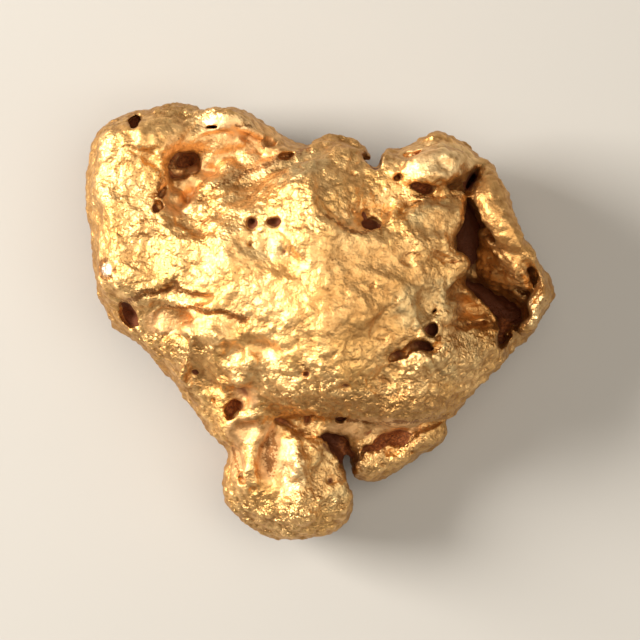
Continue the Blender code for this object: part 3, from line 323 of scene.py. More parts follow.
def press(outline, depth, fade=(0, 0), edge=0.2):
    """Sinks the upper surface inside an outline, by less along the fade; a negative depth raises it."""
    curve = closed_curve(outline)
    at, x, y, z = window((*curve.min(0), axes[2][0]), (*curve.max(0), axes[2][-1]), 0)
    flat = outline_distance(x[:, :, 0], y[:, :, 0], curve)
    middle = curve.mean(0)
    lean = fade[0] * (x[:, :, 0] - middle[0]) + fade[1] * (y[:, :, 0] - middle[1])
    share = np.clip(-flat / edge, 0, 1)
    shift = depth * share * share * (3 - 2 * share) * np.clip(0.5 - lean, 0, 1)
    place = np.arange(z.size) + shift[:, :, None] / STEP
    cell = np.clip(place.astype(int), 0, z.size - 2)
    t = np.clip(place - cell, 0, 1)
    old = metal[at]
    moved = np.take_along_axis(old, cell, 2) * (1 - t) + np.take_along_axis(old, cell + 1, 2) * t
    metal[at] = np.maximum(old, moved) if depth > 0 else np.minimum(old, moved)


def open_curve(path, spacing=0.35):
    """Points at an even spacing along a smooth curve through the path's points."""
    ends = [2 * Vector(path[0]) - Vector(path[1]), *map(Vector, path),
            2 * Vector(path[-1]) - Vector(path[-2])]
    curve = [ends[1]]
    for before, here, after, beyond in zip(ends, ends[1:], ends[2:], ends[3:]):
        steps = max(int((after - here).length / spacing), 1)
        for t in (step / steps for step in range(1, steps + 1)):
            bend = (2 * before - 5 * here + 4 * after - beyond) * t**2
            bend += (3 * here - before - 3 * after + beyond) * t**3
            curve.append(here + 0.5 * ((after - before) * t + bend))
    return curve


def on_surface(path, width, height):
    """A path's smooth curve as (x, y, top, half-width, height), tapering to both ends."""
    curve = open_curve(path)
    last = len(curve) - 1
    line = []
    for number, (x, y) in enumerate(curve):
        swing = noise.noise(Vector((x, y, height)) / WANDER_LENGTH)
        full = min(1, TAPER * math.sin(math.pi * number / last))
        size = (END_SIZE + (1 - END_SIZE) * full) * (1 + WANDER * swing)
        line.append((x, y, top((x, y)), width * size, height * size))
    return line


def nearest_on(path, at_x, at_y):
    """Distance in the plane to a path of (x, y, *values), and the values at its nearest point."""
    nearest = values = None
    for start, end in zip(path, path[1:]):
        run, climb = end[0] - start[0], end[1] - start[1]
        along = (at_x - start[0]) * run + (at_y - start[1]) * climb
        t = np.clip(along / max(run**2 + climb**2, 1e-9), 0, 1)
        gap = np.hypot(at_x - start[0] - t * run, at_y - start[1] - t * climb)
        here = [a + t * (b - a) for a, b in zip(start[2:], end[2:])]
        if nearest is None:
            nearest, values = gap, here
        else:
            closer = gap < nearest
            nearest = np.where(closer, gap, nearest)
            values = [np.where(closer, new, old) for new, old in zip(here, values)]
    return nearest, values


def groove(path, half, depth, blend=0.12):
    """A sunk line with an elliptical floor and a given half-width, along a path on the upper surface."""
    line = on_surface(path, half, depth)
    corners = np.array(line)
    low = (*(corners[:, :2].min(0) - half), corners[:, 2].min() - depth)
    high = (*(corners[:, :2].max(0) + half), corners[:, 2].max() + LINE_ROOM)
    at, x, y, z = window(low, high, blend + LINE_MARGIN)
    gap, (level, width, sunk) = nearest_on(line, x[:, :, 0], y[:, :, 0])
    gap, level, width, sunk = (v[:, :, None] for v in (gap, level, width, sunk))
    distance = oval_distance((gap, np.maximum(level - z, 0)), (width, sunk))
    cut(at, distance + RAGGED * half * ragged[at], blend)


def bar(line, blend, add):
    """Joins or cuts a round bar along points of (x, y, z, radius)."""
    points = np.array(line, np.float32)
    low, high = (points[:, :3] - points[:, 3:]).min(0), (points[:, :3] + points[:, 3:]).max(0)
    at, x, y, z = window(low, high, blend + MARK_MARGIN)
    found = np.float32(FAR_OFF)
    for start, end in zip(points, points[1:]):
        run = end[:3] - start[:3]
        offsets = (x - start[0], y - start[1], z - start[2])
        t = np.clip(sum(o * r for o, r in zip(offsets, run)) / max(run @ run, 1e-9), 0, 1)
        gap = np.sqrt(sum((o - t * r) ** 2 for o, r in zip(offsets, run)))
        found = np.minimum(found, gap - start[3] - t * (end[3] - start[3]))
    (join if add else cut)(at, found, blend)


def ridge(path, half, height, blend=0.25):
    """A raised fold of a given half-width, along a path on the upper surface."""
    line = on_surface(path, half, height)
    bar([(x, y, level + tall - wide, wide) for x, y, level, wide, tall in line], blend, add=True)


def chasm(path, floor, blend=0.2):
    """A steep-walled cut along points of (x, y, half-width), down to a floor height."""
    points = np.array(path, np.float32)
    low = (*(points[:, :2] - points[:, 2:]).min(0), floor)
    high = (*(points[:, :2] + points[:, 2:]).max(0), axes[2][-1])
    at, x, y, z = window(low, high, blend + LINE_MARGIN)
    gap, (width,) = nearest_on(path, x[:, :, 0], y[:, :, 0])
    cut(at, -smooth_min((width - gap)[:, :, None], z - floor, CHASM_ROUNDING), blend)


dish((-4.6, 8.2), (2.9, 1.2), depth=0.9, turn=14, blend=0.5)
press([(-7.7, 8.5), (-8.1, 7.6), (-8.05, 6.2), (-8.35, 5.25), (-7.3, 4.9), (-6.3, 4.8), (-5.85, 5.5),
       (-5.3, 6.4), (-4.4, 7.2), (-5.2, 8.4), (-6.6, 8.9)], depth=0.6, fade=(0.05, -0.2), edge=0.8)
for x, y, radius in DOMES:
    swell((x, y), (radius, 0.75 * radius), height=0.25, turn=25, blend=0.25)
ridge([(-7.2, 9.0), (-6.7, 9.5), (-6.0, 9.95), (-5.0, 10.1), (-4.0, 9.85), (-3.3, 9.35), (-2.3, 8.95),
       (-1.3, 8.6)], half=0.35, height=0.35)
groove([(-4.4, 9.6), (-3.9, 9.2), (-3.3, 8.8)], half=0.16, depth=0.25)
groove([(-6.0, 9.0), (-5.2, 9.2), (-4.4, 9.25)], half=0.14, depth=0.2)
dish((-9.2, 9.1), (0.45, 0.45), depth=0.25, blend=0.15)
swell((-8.75, 9.05), (0.28, 0.3), height=0.25, blend=0.12)
groove([(-9.6, 8.5), (-9.0, 8.25), (-8.3, 8.0), (-7.9, 7.5)], half=0.3, depth=0.25, blend=0.3)
groove([(-7.0, 4.85), (-6.5, 4.85), (-5.9, 4.5), (-5.4, 4.4)], 0.3, 0.3, blend=0.4)
groove([(-10.9, 2.5), (-10.55, 2.15), (-10.2, 2.5), (-10.55, 2.85), (-10.9, 2.5)], 0.1, 0.22, blend=0.08)
swell((-8.6, 4.5), (0.6, 0.4), height=0.2, turn=10)
swell((-7.5, 4.4), (0.5, 0.35), height=0.2, turn=-10)


# ---------------- the boss
# The highest lobe. A soft crest runs down its middle, and a smooth face behind the crest is sunk by a step.
ridge([(-6.2, 5.4), (-5.5, 6.2), (-4.2, 6.95), (-2.7, 7.45), (-1.3, 8.0)], 0.45, 0.18, blend=0.4)
ridge([(-0.5, 6.6), (-0.1, 3.6), (0.3, 0.2), (1.2, -3.0)], half=1.6, height=0.22, blend=1.2)
dish((-2.7, 3.3), (1.1, 0.5), depth=0.22, turn=-30, blend=0.8)
press([(-0.45, 7.1), (-0.35, 6.2), (-0.15, 5.5), (0.4, 5.0), (1.2, 4.4), (2.1, 4.15), (3.0, 4.5),
       (3.6, 5.1), (4.0, 5.8), (4.0, 6.6), (3.5, 7.5), (1.6, 9.4), (0.2, 9.5), (-0.3, 8.3)], depth=0.85,
      fade=(0.04, 0.14), edge=0.35)
ridge([(3.5, 5.05), (3.85, 5.45), (4.1, 5.9)], half=0.25, height=0.25, blend=0.15)
ridge([(-0.3, 8.75), (0.5, 9.05), (1.4, 8.95), (2.1, 8.6)], half=0.3, height=0.3)
ridge([(2.0, 8.75), (2.2, 8.45), (1.95, 8.15)], half=0.16, height=0.35, blend=0.1)
groove([(1.4, 6.05), (1.75, 5.8), (1.95, 5.6)], half=0.1, depth=0.25)
dish((4.0, -0.5), (1.2, 0.8), depth=0.15, turn=-20)
groove([(3.7, -0.3), (4.05, -0.7)], half=0.1, depth=0.25)
groove([(2.9, -0.85), (3.3, -0.8), (3.5, -0.95)], half=0.12, depth=0.25)


# ---------------- the lower left
# Two ragged steps lead down from the wing to a glazed hollow, a bright knob, and a fold beside a valley.
press([(-10.0, 0.95), (-9.1, 1.05), (-8.8, 1.4), (-7.9, 1.5), (-7.15, 1.9), (-6.8, 1.55), (-6.0, 1.35),
       (-5.2, 1.2), (-5.5, 0.7), (-7.0, 0.6), (-8.4, 0.3), (-9.5, 0.3)], depth=0.6, fade=(0, -0.7))
swell((-7.6, 1.0), (0.8, 0.25), height=0.2, turn=5)
swell((-8.8, 0.8), (0.45, 0.2), height=0.2, turn=-10)
press([(-8.0, 0.65), (-6.9, 0.65), (-6.3, 0.75), (-5.6, 0.45), (-4.8, 0.5), (-4.2, 0.3), (-3.5, -0.1),
       (-3.8, -0.7), (-4.6, -1.0), (-5.6, -0.9), (-6.8, -0.9), (-8.2, -0.3)], depth=0.45, fade=(0, -0.65))
dish((-7.3, -0.05), (1.1, 0.5), depth=0.2, turn=-22, blend=0.5)
swell((-6.4, -0.5), (0.5, 0.45), height=0.35)
ridge([(-6.2, -0.9), (-6.4, -1.8), (-6.7, -2.9), (-6.3, -3.9)], half=0.4, height=0.35, blend=0.4)
groove([(-5.75, -0.8), (-5.85, -1.7), (-5.9, -2.5), (-5.8, -3.3)], half=0.4, depth=0.4, blend=0.5)
ridge([(-5.2, -0.6), (-4.3, -1.1), (-4.0, -1.6)], half=0.3, height=0.15, blend=0.3)
dish((-4.6, -2.0), (0.9, 0.5), depth=0.3, turn=30)
dish((-3.1, -1.4), (0.8, 0.35), depth=0.2, turn=-20)
ridge([(-5.2, -2.9), (-4.3, -3.1), (-3.6, -2.7), (-3.2, -1.9)], half=0.35, height=0.2, blend=0.4)
dish((-5.4, -3.6), (0.4, 0.5), depth=0.2, blend=0.4)


# ---------------- the flakes
# Thin plates of metal are hammered over each other at the right of the boss, above a recess and a crack.
lobe([(4.5, 5.2), (5.3, 5.9), (6.4, 5.75), (7.0, 5.8), (7.25, 5.0), (7.0, 4.3), (6.2, 4.0), (5.0, 4.1)],
     level=7.5, rise=0.9, fall=0.9, rim=0.5, slope=(-0.26, -0.08), blend=0.5)
dish((4.95, 5.75), (0.5, 0.3), depth=0.2, blend=0.2)
lobe([(4.15, 3.4), (4.9, 3.75), (5.4, 4.05), (6.3, 4.1), (6.65, 3.85), (6.7, 3.45), (7.65, 3.4), (7.5, 2.8),
      (7.0, 2.0), (6.4, 1.5), (5.7, 1.4), (4.9, 1.7), (4.2, 2.5)], level=8.2, rise=0.6, fall=0.9, rim=0.35,
     slope=(-0.42, 0.0), blend=0.45)
press([(4.2, 4.2), (4.6, 4.6), (5.6, 4.5), (6.4, 4.2), (6.4, 3.7), (5.4, 3.6), (4.4, 3.6)], depth=-0.3,
      edge=0.35)
dish((4.5, 3.0), (0.38, 0.38), depth=0.15, blend=0.1)
groove([(5.4, 4.0), (5.45, 3.5), (6.1, 3.0), (6.9, 2.8), (7.3, 3.0)], half=0.09, depth=0.2)
dish((5.5, 0.6), (0.6, 0.75), depth=0.45, blend=0.4)
ridge([(6.1, 0.15), (6.5, 0.7), (6.95, 1.4)], half=0.25, height=0.15, blend=0.2)
dish((7.7, 0.5), (0.9, 0.6), depth=0.8, turn=-30, blend=0.2)
ridge([(7.2, 1.5), (7.9, 1.05), (8.5, 0.6), (8.8, -0.1)], half=0.18, height=0.3, blend=0.12)
groove([(3.45, -1.85), (3.8, -1.7), (4.15, -1.75), (4.4, -1.4), (4.8, -1.25), (5.2, -1.35), (5.55, -1.5),
        (5.8, -1.25), (6.15, -1.0)], half=0.17, depth=0.9, blend=0.08)
ridge([(4.3, -2.1), (4.9, -1.85), (5.6, -1.9), (6.2, -1.3), (6.5, -0.7)], 0.35, 0.2, blend=0.3)
groove([(6.0, -0.3), (6.7, -0.1), (7.3, -0.3), (7.8, -0.15), (8.5, -0.1)], half=0.15, depth=0.6)


# ---------------- the arm and shoulder
# A deep groove parts the arm from the boss. Fibres of drawn metal rise from it, and a shoulder closes its
# top. The fibres are round bars, each from a point (y, z) on the groove's wall and with its own radius.
FIBRES = ((4.2, 5.7, 0.4), (3.8, 5.4, 0.35), (3.4, 5.2, 0.4), (3.0, 4.8, 0.35), (2.6, 4.6, 0.4),
          (2.2, 4.1, 0.3))
FIBRE_LINES = 8
FIBRE_SPACING = 0.31
chasm([(7.85, 7.5, 0.14), (7.6, 7.1, 0.25), (7.15, 6.35, 0.14), (7.35, 5.6, 0.2), (7.5, 4.7, 0.5),
       (7.5, 3.8, 0.7), (8.0, 2.9, 0.7), (8.1, 1.9, 0.8), (9.0, 0.9, 0.6), (9.5, 0.3, 0.7)], floor=3.6)
for y, z, radius in FIBRES:
    middle = (9.1, 0.72 * y + 0.3, z + 0.8, 0.9 * radius)
    end = (10.95 - 0.25 * y, 0.45 * y + 0.55, z + 1.4, 0.8 * radius)
    bar([(8.15, y, z, radius), middle, end], blend=0.3, add=True)
for number in range(FIBRE_LINES):
    lift = FIBRE_SPACING * number
    ridge([(8.0, 2.0 + lift), (9.0, 1.75 + 0.75 * lift), (10.0, 1.45 + 0.45 * lift)], half=0.12, height=0.2,
          blend=0.06)
chasm([(7.5, 1.75, 0.25), (8.3, 1.3, 0.38), (9.1, 0.75, 0.55), (9.7, 0.2, 0.6)], floor=2.3, blend=0.3)
chasm([(9.35, -0.3, 0.35), (9.05, -1.15, 0.22)], floor=2.2)
ridge([(7.8, 6.2), (8.6, 5.2), (9.4, 4.1), (10.3, 2.9)], half=0.5, height=0.25, blend=0.4)
swell((5.5, 7.55), (1.5, 0.75), height=0.5, turn=18, blend=0.4)
swell((5.6, 7.05), (1.2, 0.4), height=0.45, turn=4, blend=0.4)
swell((3.5, 6.6), (1.6, 1.3), height=0.9, blend=0.6)
swell((2.9, 6.3), (1.2, 1.5), height=0.5, blend=0.6)
bar([(3.9, 6.2, 7.2, 0.5), (5.2, 6.1, 7.55, 0.5), (6.3, 6.1, 7.55, 0.5), (6.9, 6.2, 7.3, 0.35)], blend=0.5,
    add=True)
groove([(4.3, 5.95), (5.2, 6.1), (6.2, 6.15), (6.95, 6.25)], half=0.13, depth=0.3)
ridge([(4.2, 7.3), (5.0, 7.8), (6.0, 8.2), (6.5, 7.8), (6.8, 7.3)], half=0.3, height=0.2, blend=0.4)
ridge([(3.15, 8.1), (4.1, 8.55), (5.2, 8.95), (5.9, 9.3)], half=0.22, height=0.3, blend=0.15)
groove([(3.9, 8.05), (4.6, 8.25), (5.2, 8.5)], half=0.22, depth=0.5)
ridge([(9.3, -0.75), (10.0, -0.35), (10.6, 0.15), (11.0, 0.7)], half=0.2, height=0.25, blend=0.12)


# ---------------- the neck
# The narrow waist above the foot is torn: it has a deep hole, a thin curved rim and slots. The hole is a
# ragged pit, and the same tool makes every other pit.
PIT_SINK = 0.15
PIT_BLEND = 0.08


def pit(at, half, depth, turn=0):
    """A sharp-rimmed, ragged hole in the upper surface."""
    centre = Vector((*at, top(at) - PIT_SINK * depth))
    across = Matrix.Rotation(math.radians(turn), 3, "Z")
    ball(centre, (*half, depth), across, PIT_BLEND, add=False, wobble=RAGGED * min(half))


groove([(-4.3, -4.6), (-3.9, -3.9), (-3.4, -3.4)], half=0.6, depth=0.6, blend=0.5)
pit((-4.35, -4.6), (0.62, 0.68), depth=1.2, turn=-20)
dish((-3.8, -5.45), (0.85, 0.6), depth=0.5, blend=0.35)
ridge([(-4.7, -5.2), (-4.2, -4.9), (-3.7, -4.72), (-3.0, -4.7), (-2.6, -4.5), (-2.2, -4.75)], 0.16, 0.2,
      blend=0.1)
groove([(-2.4, -4.8), (-1.75, -5.1), (-1.1, -5.55)], half=0.12, depth=0.5)
groove([(-0.9, -5.4), (-0.6, -5.0), (-0.1, -4.8), (0.5, -4.6)], half=0.13, depth=0.5)
groove([(-1.7, -5.7), (-0.9, -5.85), (-0.2, -5.9), (0.6, -5.7)], half=0.14, depth=0.6)


# ---------------- the foot and crescent
# The foot is folded into columns. A cavity parts it from the crescent, a thin plate that was bent up along
# the edge, with a slot behind its bright lip.
ridge([(-1.4, -5.9), (-1.1, -7.0), (-0.95, -8.0), (-0.85, -9.7)], half=0.7, height=0.35, blend=0.5)
press([(-1.05, -5.9), (-0.95, -7.0), (-0.8, -8.3), (-0.85, -9.8), (0.5, -9.8), (1.5, -8.6), (1.1, -7.2),
       (0.3, -6.1)], depth=0.6, fade=(0.25, -0.2), edge=0.5)
dish((-2.2, -6.6), (0.75, 1.2), depth=0.45, turn=-8, blend=0.5)
groove([(-2.5, -5.7), (-2.7, -6.3), (-2.7, -7.0), (-2.5, -7.8)], half=0.32, depth=0.32, blend=0.35)
groove([(-4.4, -6.2), (-4.2, -7.0), (-4.05, -7.8)], half=0.3, depth=0.35, blend=0.35)
swell((-0.5, -6.35), (0.35, 0.3), height=0.3, blend=0.2)
bar([(1.0, -5.5, 5.2, 0.25), (2.4, -5.5, 5.0, 0.3), (4.6, -5.4, 4.7, 0.25), (6.2, -5.0, 4.3, 0.15)],
    blend=0.15, add=False)
chasm([(0.4, -5.85, 0.35), (0.95, -6.2, 0.6), (1.3, -6.9, 0.32)], floor=2.9)
ridge([(0.55, -6.75), (0.85, -7.1), (1.1, -7.35)], half=0.13, height=0.3, blend=0.08)
ridge([(1.75, -7.35), (2.05, -7.15), (2.3, -6.75)], half=0.13, height=0.3, blend=0.08)
groove([(2.0, -6.9), (2.3, -6.5), (2.9, -6.3), (3.2, -6.0), (3.8, -6.0), (4.5, -5.75)], half=0.25,
       depth=0.8)
dish((3.7, -6.6), (0.5, 0.22), depth=0.25, turn=12, blend=0.12)
dish((4.8, -5.35), (0.3, 0.22), depth=0.25, blend=0.12)


# ---------------- pits and scratches
# Grit has knocked ragged pits into the soft metal, and has left nicks, slits and fine scratches between
# them. A pit is x, y, two half-widths, depth and turn. A scratch is a path, a half-width and a depth.
PITS = (
    (-6.9, 7.85, 0.78, 0.68, 1.7, 10), (-5.35, 9.55, 0.36, 0.14, 2.6, 0),
    (-9.2, 9.75, 0.34, 0.5, 1.5, -8), (-7.75, 6.35, 0.22, 0.38, 0.7, -25),
    (-7.95, 5.5, 0.26, 0.3, 0.6, 0), (-6.55, 5.9, 0.24, 0.2, 0.7, -20), (-2.4, 9.0, 0.27, 0.3, 1.0, 0),
    (-1.6, 8.15, 0.45, 0.18, 0.8, 14), (-9.45, 0.15, 0.62, 0.3, 1.1, -42),
    (-3.3, 4.85, 0.5, 0.44, 0.9, -20), (-2.3, 4.8, 0.34, 0.2, 0.7, 0), (-0.7, -2.65, 0.2, 0.16, 0.45, 0),
    (2.4, 4.62, 0.42, 0.27, 0.8, -8), (2.2, 5.15, 0.12, 0.2, 0.4, 0), (3.8, 6.97, 0.32, 0.28, 0.9, 0),
    (5.0, 6.5, 0.62, 0.28, 1.1, -8), (7.6, 7.0, 0.28, 0.38, 1.2, -25), (5.9, 6.75, 0.28, 0.18, 0.3, 0),
    (5.5, -0.4, 0.34, 0.42, 1.0, -15), (5.65, 0.45, 0.36, 0.22, 0.7, 35), (5.8, -0.9, 0.1, 0.14, 0.3, 0),
    (1.0, -4.9, 0.33, 0.25, 0.7, 15), (2.55, 1.65, 0.16, 0.15, 0.25, 0), (2.05, 1.1, 0.11, 0.08, 0.2, 0),
    (1.35, -3.35, 0.2, 0.15, 0.25, 0), (-3.9, -7.98, 0.2, 0.15, 0.4, -25),
    (0.62, -7.9, 0.19, 0.13, 0.3, 30),
)
SMALL_PITS = (
    (-3.35, -8.5, 0.13, 0.11, 0.25, 20), (3.7, 1.0, 0.12, 0.1, 0.2, 0), (-1.8, 3.3, 0.12, 0.09, 0.2, 0),
    (-3.4, 3.7, 0.11, 0.1, 0.2, 0), (10.65, 0.98, 0.12, 0.22, 0.35, 0), (9.45, 1.15, 0.12, 0.1, 0.25, 0),
    (4.7, 8.2, 0.45, 0.16, 0.4, 25), (-6.15, -2.65, 0.12, 0.14, 0.3, 0), (-5.3, -4.0, 0.1, 0.1, 0.25, 0),
    (-3.45, 9.7, 0.26, 0.1, 0.2, 0), (1.65, 7.2, 0.1, 0.08, 0.2, 0), (1.65, 5.3, 0.1, 0.12, 0.25, 0),
    (1.4, 4.75, 0.12, 0.12, 0.15, 0), (1.8, 4.6, 0.1, 0.1, 0.15, 0), (7.4, -0.15, 0.28, 0.12, 0.4, 0),
    (-3.0, 8.45, 0.12, 0.09, 0.2, 0), (10.2, 0.2, 0.1, 0.08, 0.2, 30), (10.9, 0.55, 0.12, 0.08, 0.2, 60),
    (2.7, -7.3, 0.12, 0.08, 0.15, 20), (3.6, -7.2, 0.1, 0.08, 0.15, 0), (4.6, -6.7, 0.11, 0.08, 0.15, 30),
    (-7.6, 9.9, 0.12, 0.06, 0.15, 40), (-3.9, -7.45, 0.08, 0.08, 0.2, 0), (5.0, -0.1, 0.1, 0.08, 0.2, 0),
    (-1.1, -2.3, 0.1, 0.08, 0.2, 0), (3.3, -0.85, 0.16, 0.09, 0.25, -20), (6.4, -2.1, 0.1, 0.08, 0.15, 0),
    (-2.75, -4.15, 0.12, 0.1, 0.25, 0), (0.3, 8.6, 0.12, 0.1, 0.2, 0), (8.2, -2.6, 0.2, 0.18, 0.12, 0),
)
SCRATCHES = (
    ([(3.7, -0.3), (3.85, -0.45), (4.1, -0.65)], 0.1, 0.2),
    ([(3.2, 4.75), (3.45, 4.8), (3.7, 4.85)], 0.09, 0.2),
    ([(1.35, 6.15), (1.6, 5.95), (1.75, 5.7)], 0.08, 0.15),
    ([(-8.9, 6.3), (-8.3, 6.1), (-8.0, 6.15)], 0.1, 0.2),
    ([(-7.85, -0.35), (-7.35, -0.55), (-7.75, -0.85), (-7.85, -0.35)], 0.08, 0.12),
    ([(-7.9, 9.9), (-7.4, 9.75), (-7.0, 9.85)], 0.08, 0.12),
    ([(-5.3, 5.1), (-4.7, 5.5), (-4.3, 5.6)], 0.09, 0.15), ([(5.9, -2.0), (6.2, -2.3)], 0.1, 0.15),
    ([(8.6, 1.3), (9.0, 1.0), (9.5, 0.95)], 0.12, 0.25),
)
SCRATCH_BLEND = 0.05

unpitted = metal.copy()
for x, y, long, short, depth, turn in PITS + SMALL_PITS:
    pit((x, y), (long, short), depth, turn)
for path, half, depth in SCRATCHES:
    groove(path, half, depth, SCRATCH_BLEND)


# ---------------- the underside
# The hidden side is worn as the rest is: wide hollows, long folds, and a scatter of swellings and pits.
# It is worked from above, with the lump turned over.
BACK_MARKS = 80
BACK_REACH = 10
BACK_WIDTHS = (0.3, 1.0)
BACK_BLEND = 0.4
SWELL_RISE = 0.3
PIT_WIDTH = 0.4
PIT_DEPTH = 0.6


def turn_over():
    """Turns the lump upside down in its grid, so that its underside can be worked from above."""
    metal[:] = np.ascontiguousarray(metal[:, :, ::-1])


def covers(place, reach):
    """Whether there is metal under a place and for some way round it."""
    i, j = (int(round((v - axis[0]) / STEP)) for v, axis in zip(place, axes))
    cells = int(reach / STEP)
    return bool((metal[i - cells:i + cells + 1, j - cells:j + cells + 1] < 0).any(2).all())


turn_over()
dish((-4.8, 5.6), (2.6, 1.5), depth=0.8, turn=20, blend=0.6)
dish((3.6, -1.4), (2.1, 1.3), depth=0.8, turn=-30, blend=0.6)
dish((1.2, 6.2), (1.4, 0.9), depth=0.7, turn=15, blend=0.4)
dish((-1.8, -8.3), (1.3, 0.8), depth=0.5, turn=70, blend=0.4)
dish((8.2, 1.8), (1.2, 0.7), depth=0.6, turn=-55, blend=0.4)
groove([(-9.8, 3.2), (-7.6, 2.6), (-5.0, 1.6), (-2.6, 2.2), (-0.2, 3.4), (2.4, 3.0)], 0.45, 0.7, blend=0.4)
groove([(3.8, 6.6), (5.2, 5.0), (6.2, 3.2), (8.4, 3.6), (9.8, 3.2)], half=0.4, depth=0.7, blend=0.3)
groove([(-4.2, -5.4), (-2.6, -5.9), (-0.6, -5.6), (0.8, -6.2)], half=0.45, depth=0.8, blend=0.3)
ridge([(-6.6, -1.6), (-4.2, -2.6), (-1.6, -2.2), (0.6, -3.2)], half=0.8, height=0.35, blend=0.6)
ridge([(-8.6, 6.8), (-7.4, 8.2), (-5.2, 9.0), (-2.8, 8.4)], half=0.6, height=0.3, blend=0.5)
random = np.random.default_rng(SEED + 20)
for number in range(BACK_MARKS):
    place = random.uniform((-BACK_REACH, -BACK_REACH), (BACK_REACH, BACK_REACH))
    wide = random.uniform(*BACK_WIDTHS)
    narrow = wide * random.uniform(0.5, 1)
    turn = random.uniform(0, 180)
    if not covers(place, wide):
        continue
    if number % 2:
        swell(place, (wide, narrow), SWELL_RISE * wide, turn, BACK_BLEND)
    else:
        pit(place, (PIT_WIDTH * wide, PIT_WIDTH * narrow), PIT_DEPTH * wide, turn)
turn_over()


# ---------------- the flanks
# Dents, swellings and pits go round the sides, below the widest level. Each is struck where a line from
# outside, aimed near the middle of the lump, first meets the metal.
FLANK_MARKS = 75
FLANK_CEILING = 3.2
FLANK_WIDTHS = (0.4, 1.1)
AIM_LEVELS = (1.0, 3.0)
AIM_TILTS = (-0.1, 0.25)
AIM_SPREAD = 0.3
AIM_NORTH = 1.0
GOLDEN_ANGLE = 137.5
START_DISTANCE = 20
MOST_STEPS = 2000
# Each kind of mark in turn: how far out its middle lies and its three radii, in shares of its width, then
# its blend, and whether it is joined on or cut away.
FLANK_TOOLS = (
    (0.9, (1.2, 0.9, 1.2), 0.35, False),
    (-0.7, (1.1, 0.8, 0.85), 0.4, True),
    (0, (0.3, 0.22, 0.5), 0.1, False),
)


def strike(start, direction):
    """Where a line from outside first meets the metal, and the way out of the surface there."""
    place = np.array(start, float)
    step = 0.5 * STEP * np.array(direction)
    low = np.array([axis[0] for axis in axes])
    high = np.array([axis[-1] for axis in axes])
    for _ in range(MOST_STEPS):
        if (place > low).all() and (place < high).all():
            index = tuple(np.round((place - low) / STEP).astype(int))
            if metal[index] < 0:
                near = metal[tuple(slice(i - 2, i + 3) for i in index)]
                outward = Vector([np.diff(near, axis=axis).mean() for axis in range(3)])
                return Vector(place), outward.normalized()
        place = place + step
    return None, None


random = np.random.default_rng(SEED + 30)
for number in range(FLANK_MARKS):
    around = math.radians(GOLDEN_ANGLE) * number
    east, north = math.cos(around), math.sin(around)
    target = Vector((AIM_SPREAD * east, AIM_NORTH + AIM_SPREAD * north, random.uniform(*AIM_LEVELS)))
    inward = Vector((-east, -north, random.uniform(*AIM_TILTS))).normalized()
    hit, outward = strike(target - START_DISTANCE * inward, inward)
    wide = random.uniform(*FLANK_WIDTHS)
    if hit is None or hit.z > FLANK_CEILING:
        continue
    turn = outward.to_track_quat("Z", "Y").to_matrix()
    lift, radii, blend, add = FLANK_TOOLS[number % len(FLANK_TOOLS)]
    ball(hit + lift * wide * outward, [radius * wide for radius in radii], turn, blend, add)


# ---------------- the gaps
# Three gaps go right through the outline, where the lobes never met: a bay in the north, a nick in the
# wing's rim, and one behind the foot.
chasm([(2.3, 8.02, 0.2), (2.75, 7.74, 0.34), (2.83, 8.3, 0.42), (2.9, 9.6, 0.6)], floor=-1, blend=0.12)
chasm([(-5.9, 10.4, 0.12), (-5.9, 11.2, 0.25)], floor=-1, blend=0.1)
chasm([(1.47, -7.35, 0.13), (1.45, -7.6, 0.14), (1.6, -8.3, 0.2)], floor=-1, blend=0.1)


# ---------------- the skin
# The surface of the gold, with the grain that years of tumbling have hammered into it: rounded pebbles
# under half a millimetre wide on the open faces, and hardly any inside the hollows. It is laid out in
# facets, and geometry nodes move them in and out.
FINE_FLOW = (0.8, 0.42)
FLAT_SNAP = 0.03
SKIN_TRIANGLES = 196000
GRAIN_SIZE = 0.42
GRAIN_HEIGHT = 0.135
FINE_SIZE = 0.22
FINE_HEIGHT = 0.05
LUMP_SIZE = 0.95
LUMP_HEIGHT = 0.18
GRAIN_SEED = 12.7
COARSE_ROUNDNESS = 0.4
FINE_ROUNDNESS = 0.2
PEBBLE_EDGES = (0.15, 0.85)
MIDDLE_PEBBLE = 0.55
PLAIN_GRAIN = 0.45
BEND_SCALE = 0.7
BEND = (1.1, 1.1, 1.1)
HOLLOW_REACH = 0.5
POCKET_REACH = 1.3

fine_flow = FINE_FLOW[1] * smooth_random(FINE_FLOW[0], SEED + 9)
metal += fine_flow
unpitted += fine_flow
metal[:] = np.maximum(metal, -axes[2][None, None, :])


def closed_in(reach):
    """How far metal stands round each point of the grid: above zero in a hollow, below zero on a crest."""
    spread = np.clip(metal, -reach, reach)
    for axis in range(3):
        spread = box_blur(spread, int(reach / STEP), axis)
    return -spread / reach


def read_grid(values, points):
    """Values of a grid at points in millimetres."""
    cells = [np.clip((points[:, n] - axes[n][0]) / STEP, 0, len(axes[n]) - 1.001) for n in range(3)]
    first = [cell.astype(int) for cell in cells]
    share = [cell - whole for cell, whole in zip(cells, first)]
    found = 0
    for corner in range(8):
        steps = [corner >> n & 1 for n in range(3)]
        weight = 1
        for n in range(3):
            weight = weight * (share[n] if steps[n] else 1 - share[n])
        found = found + weight * values[tuple(first[n] + steps[n] for n in range(3))]
    return found


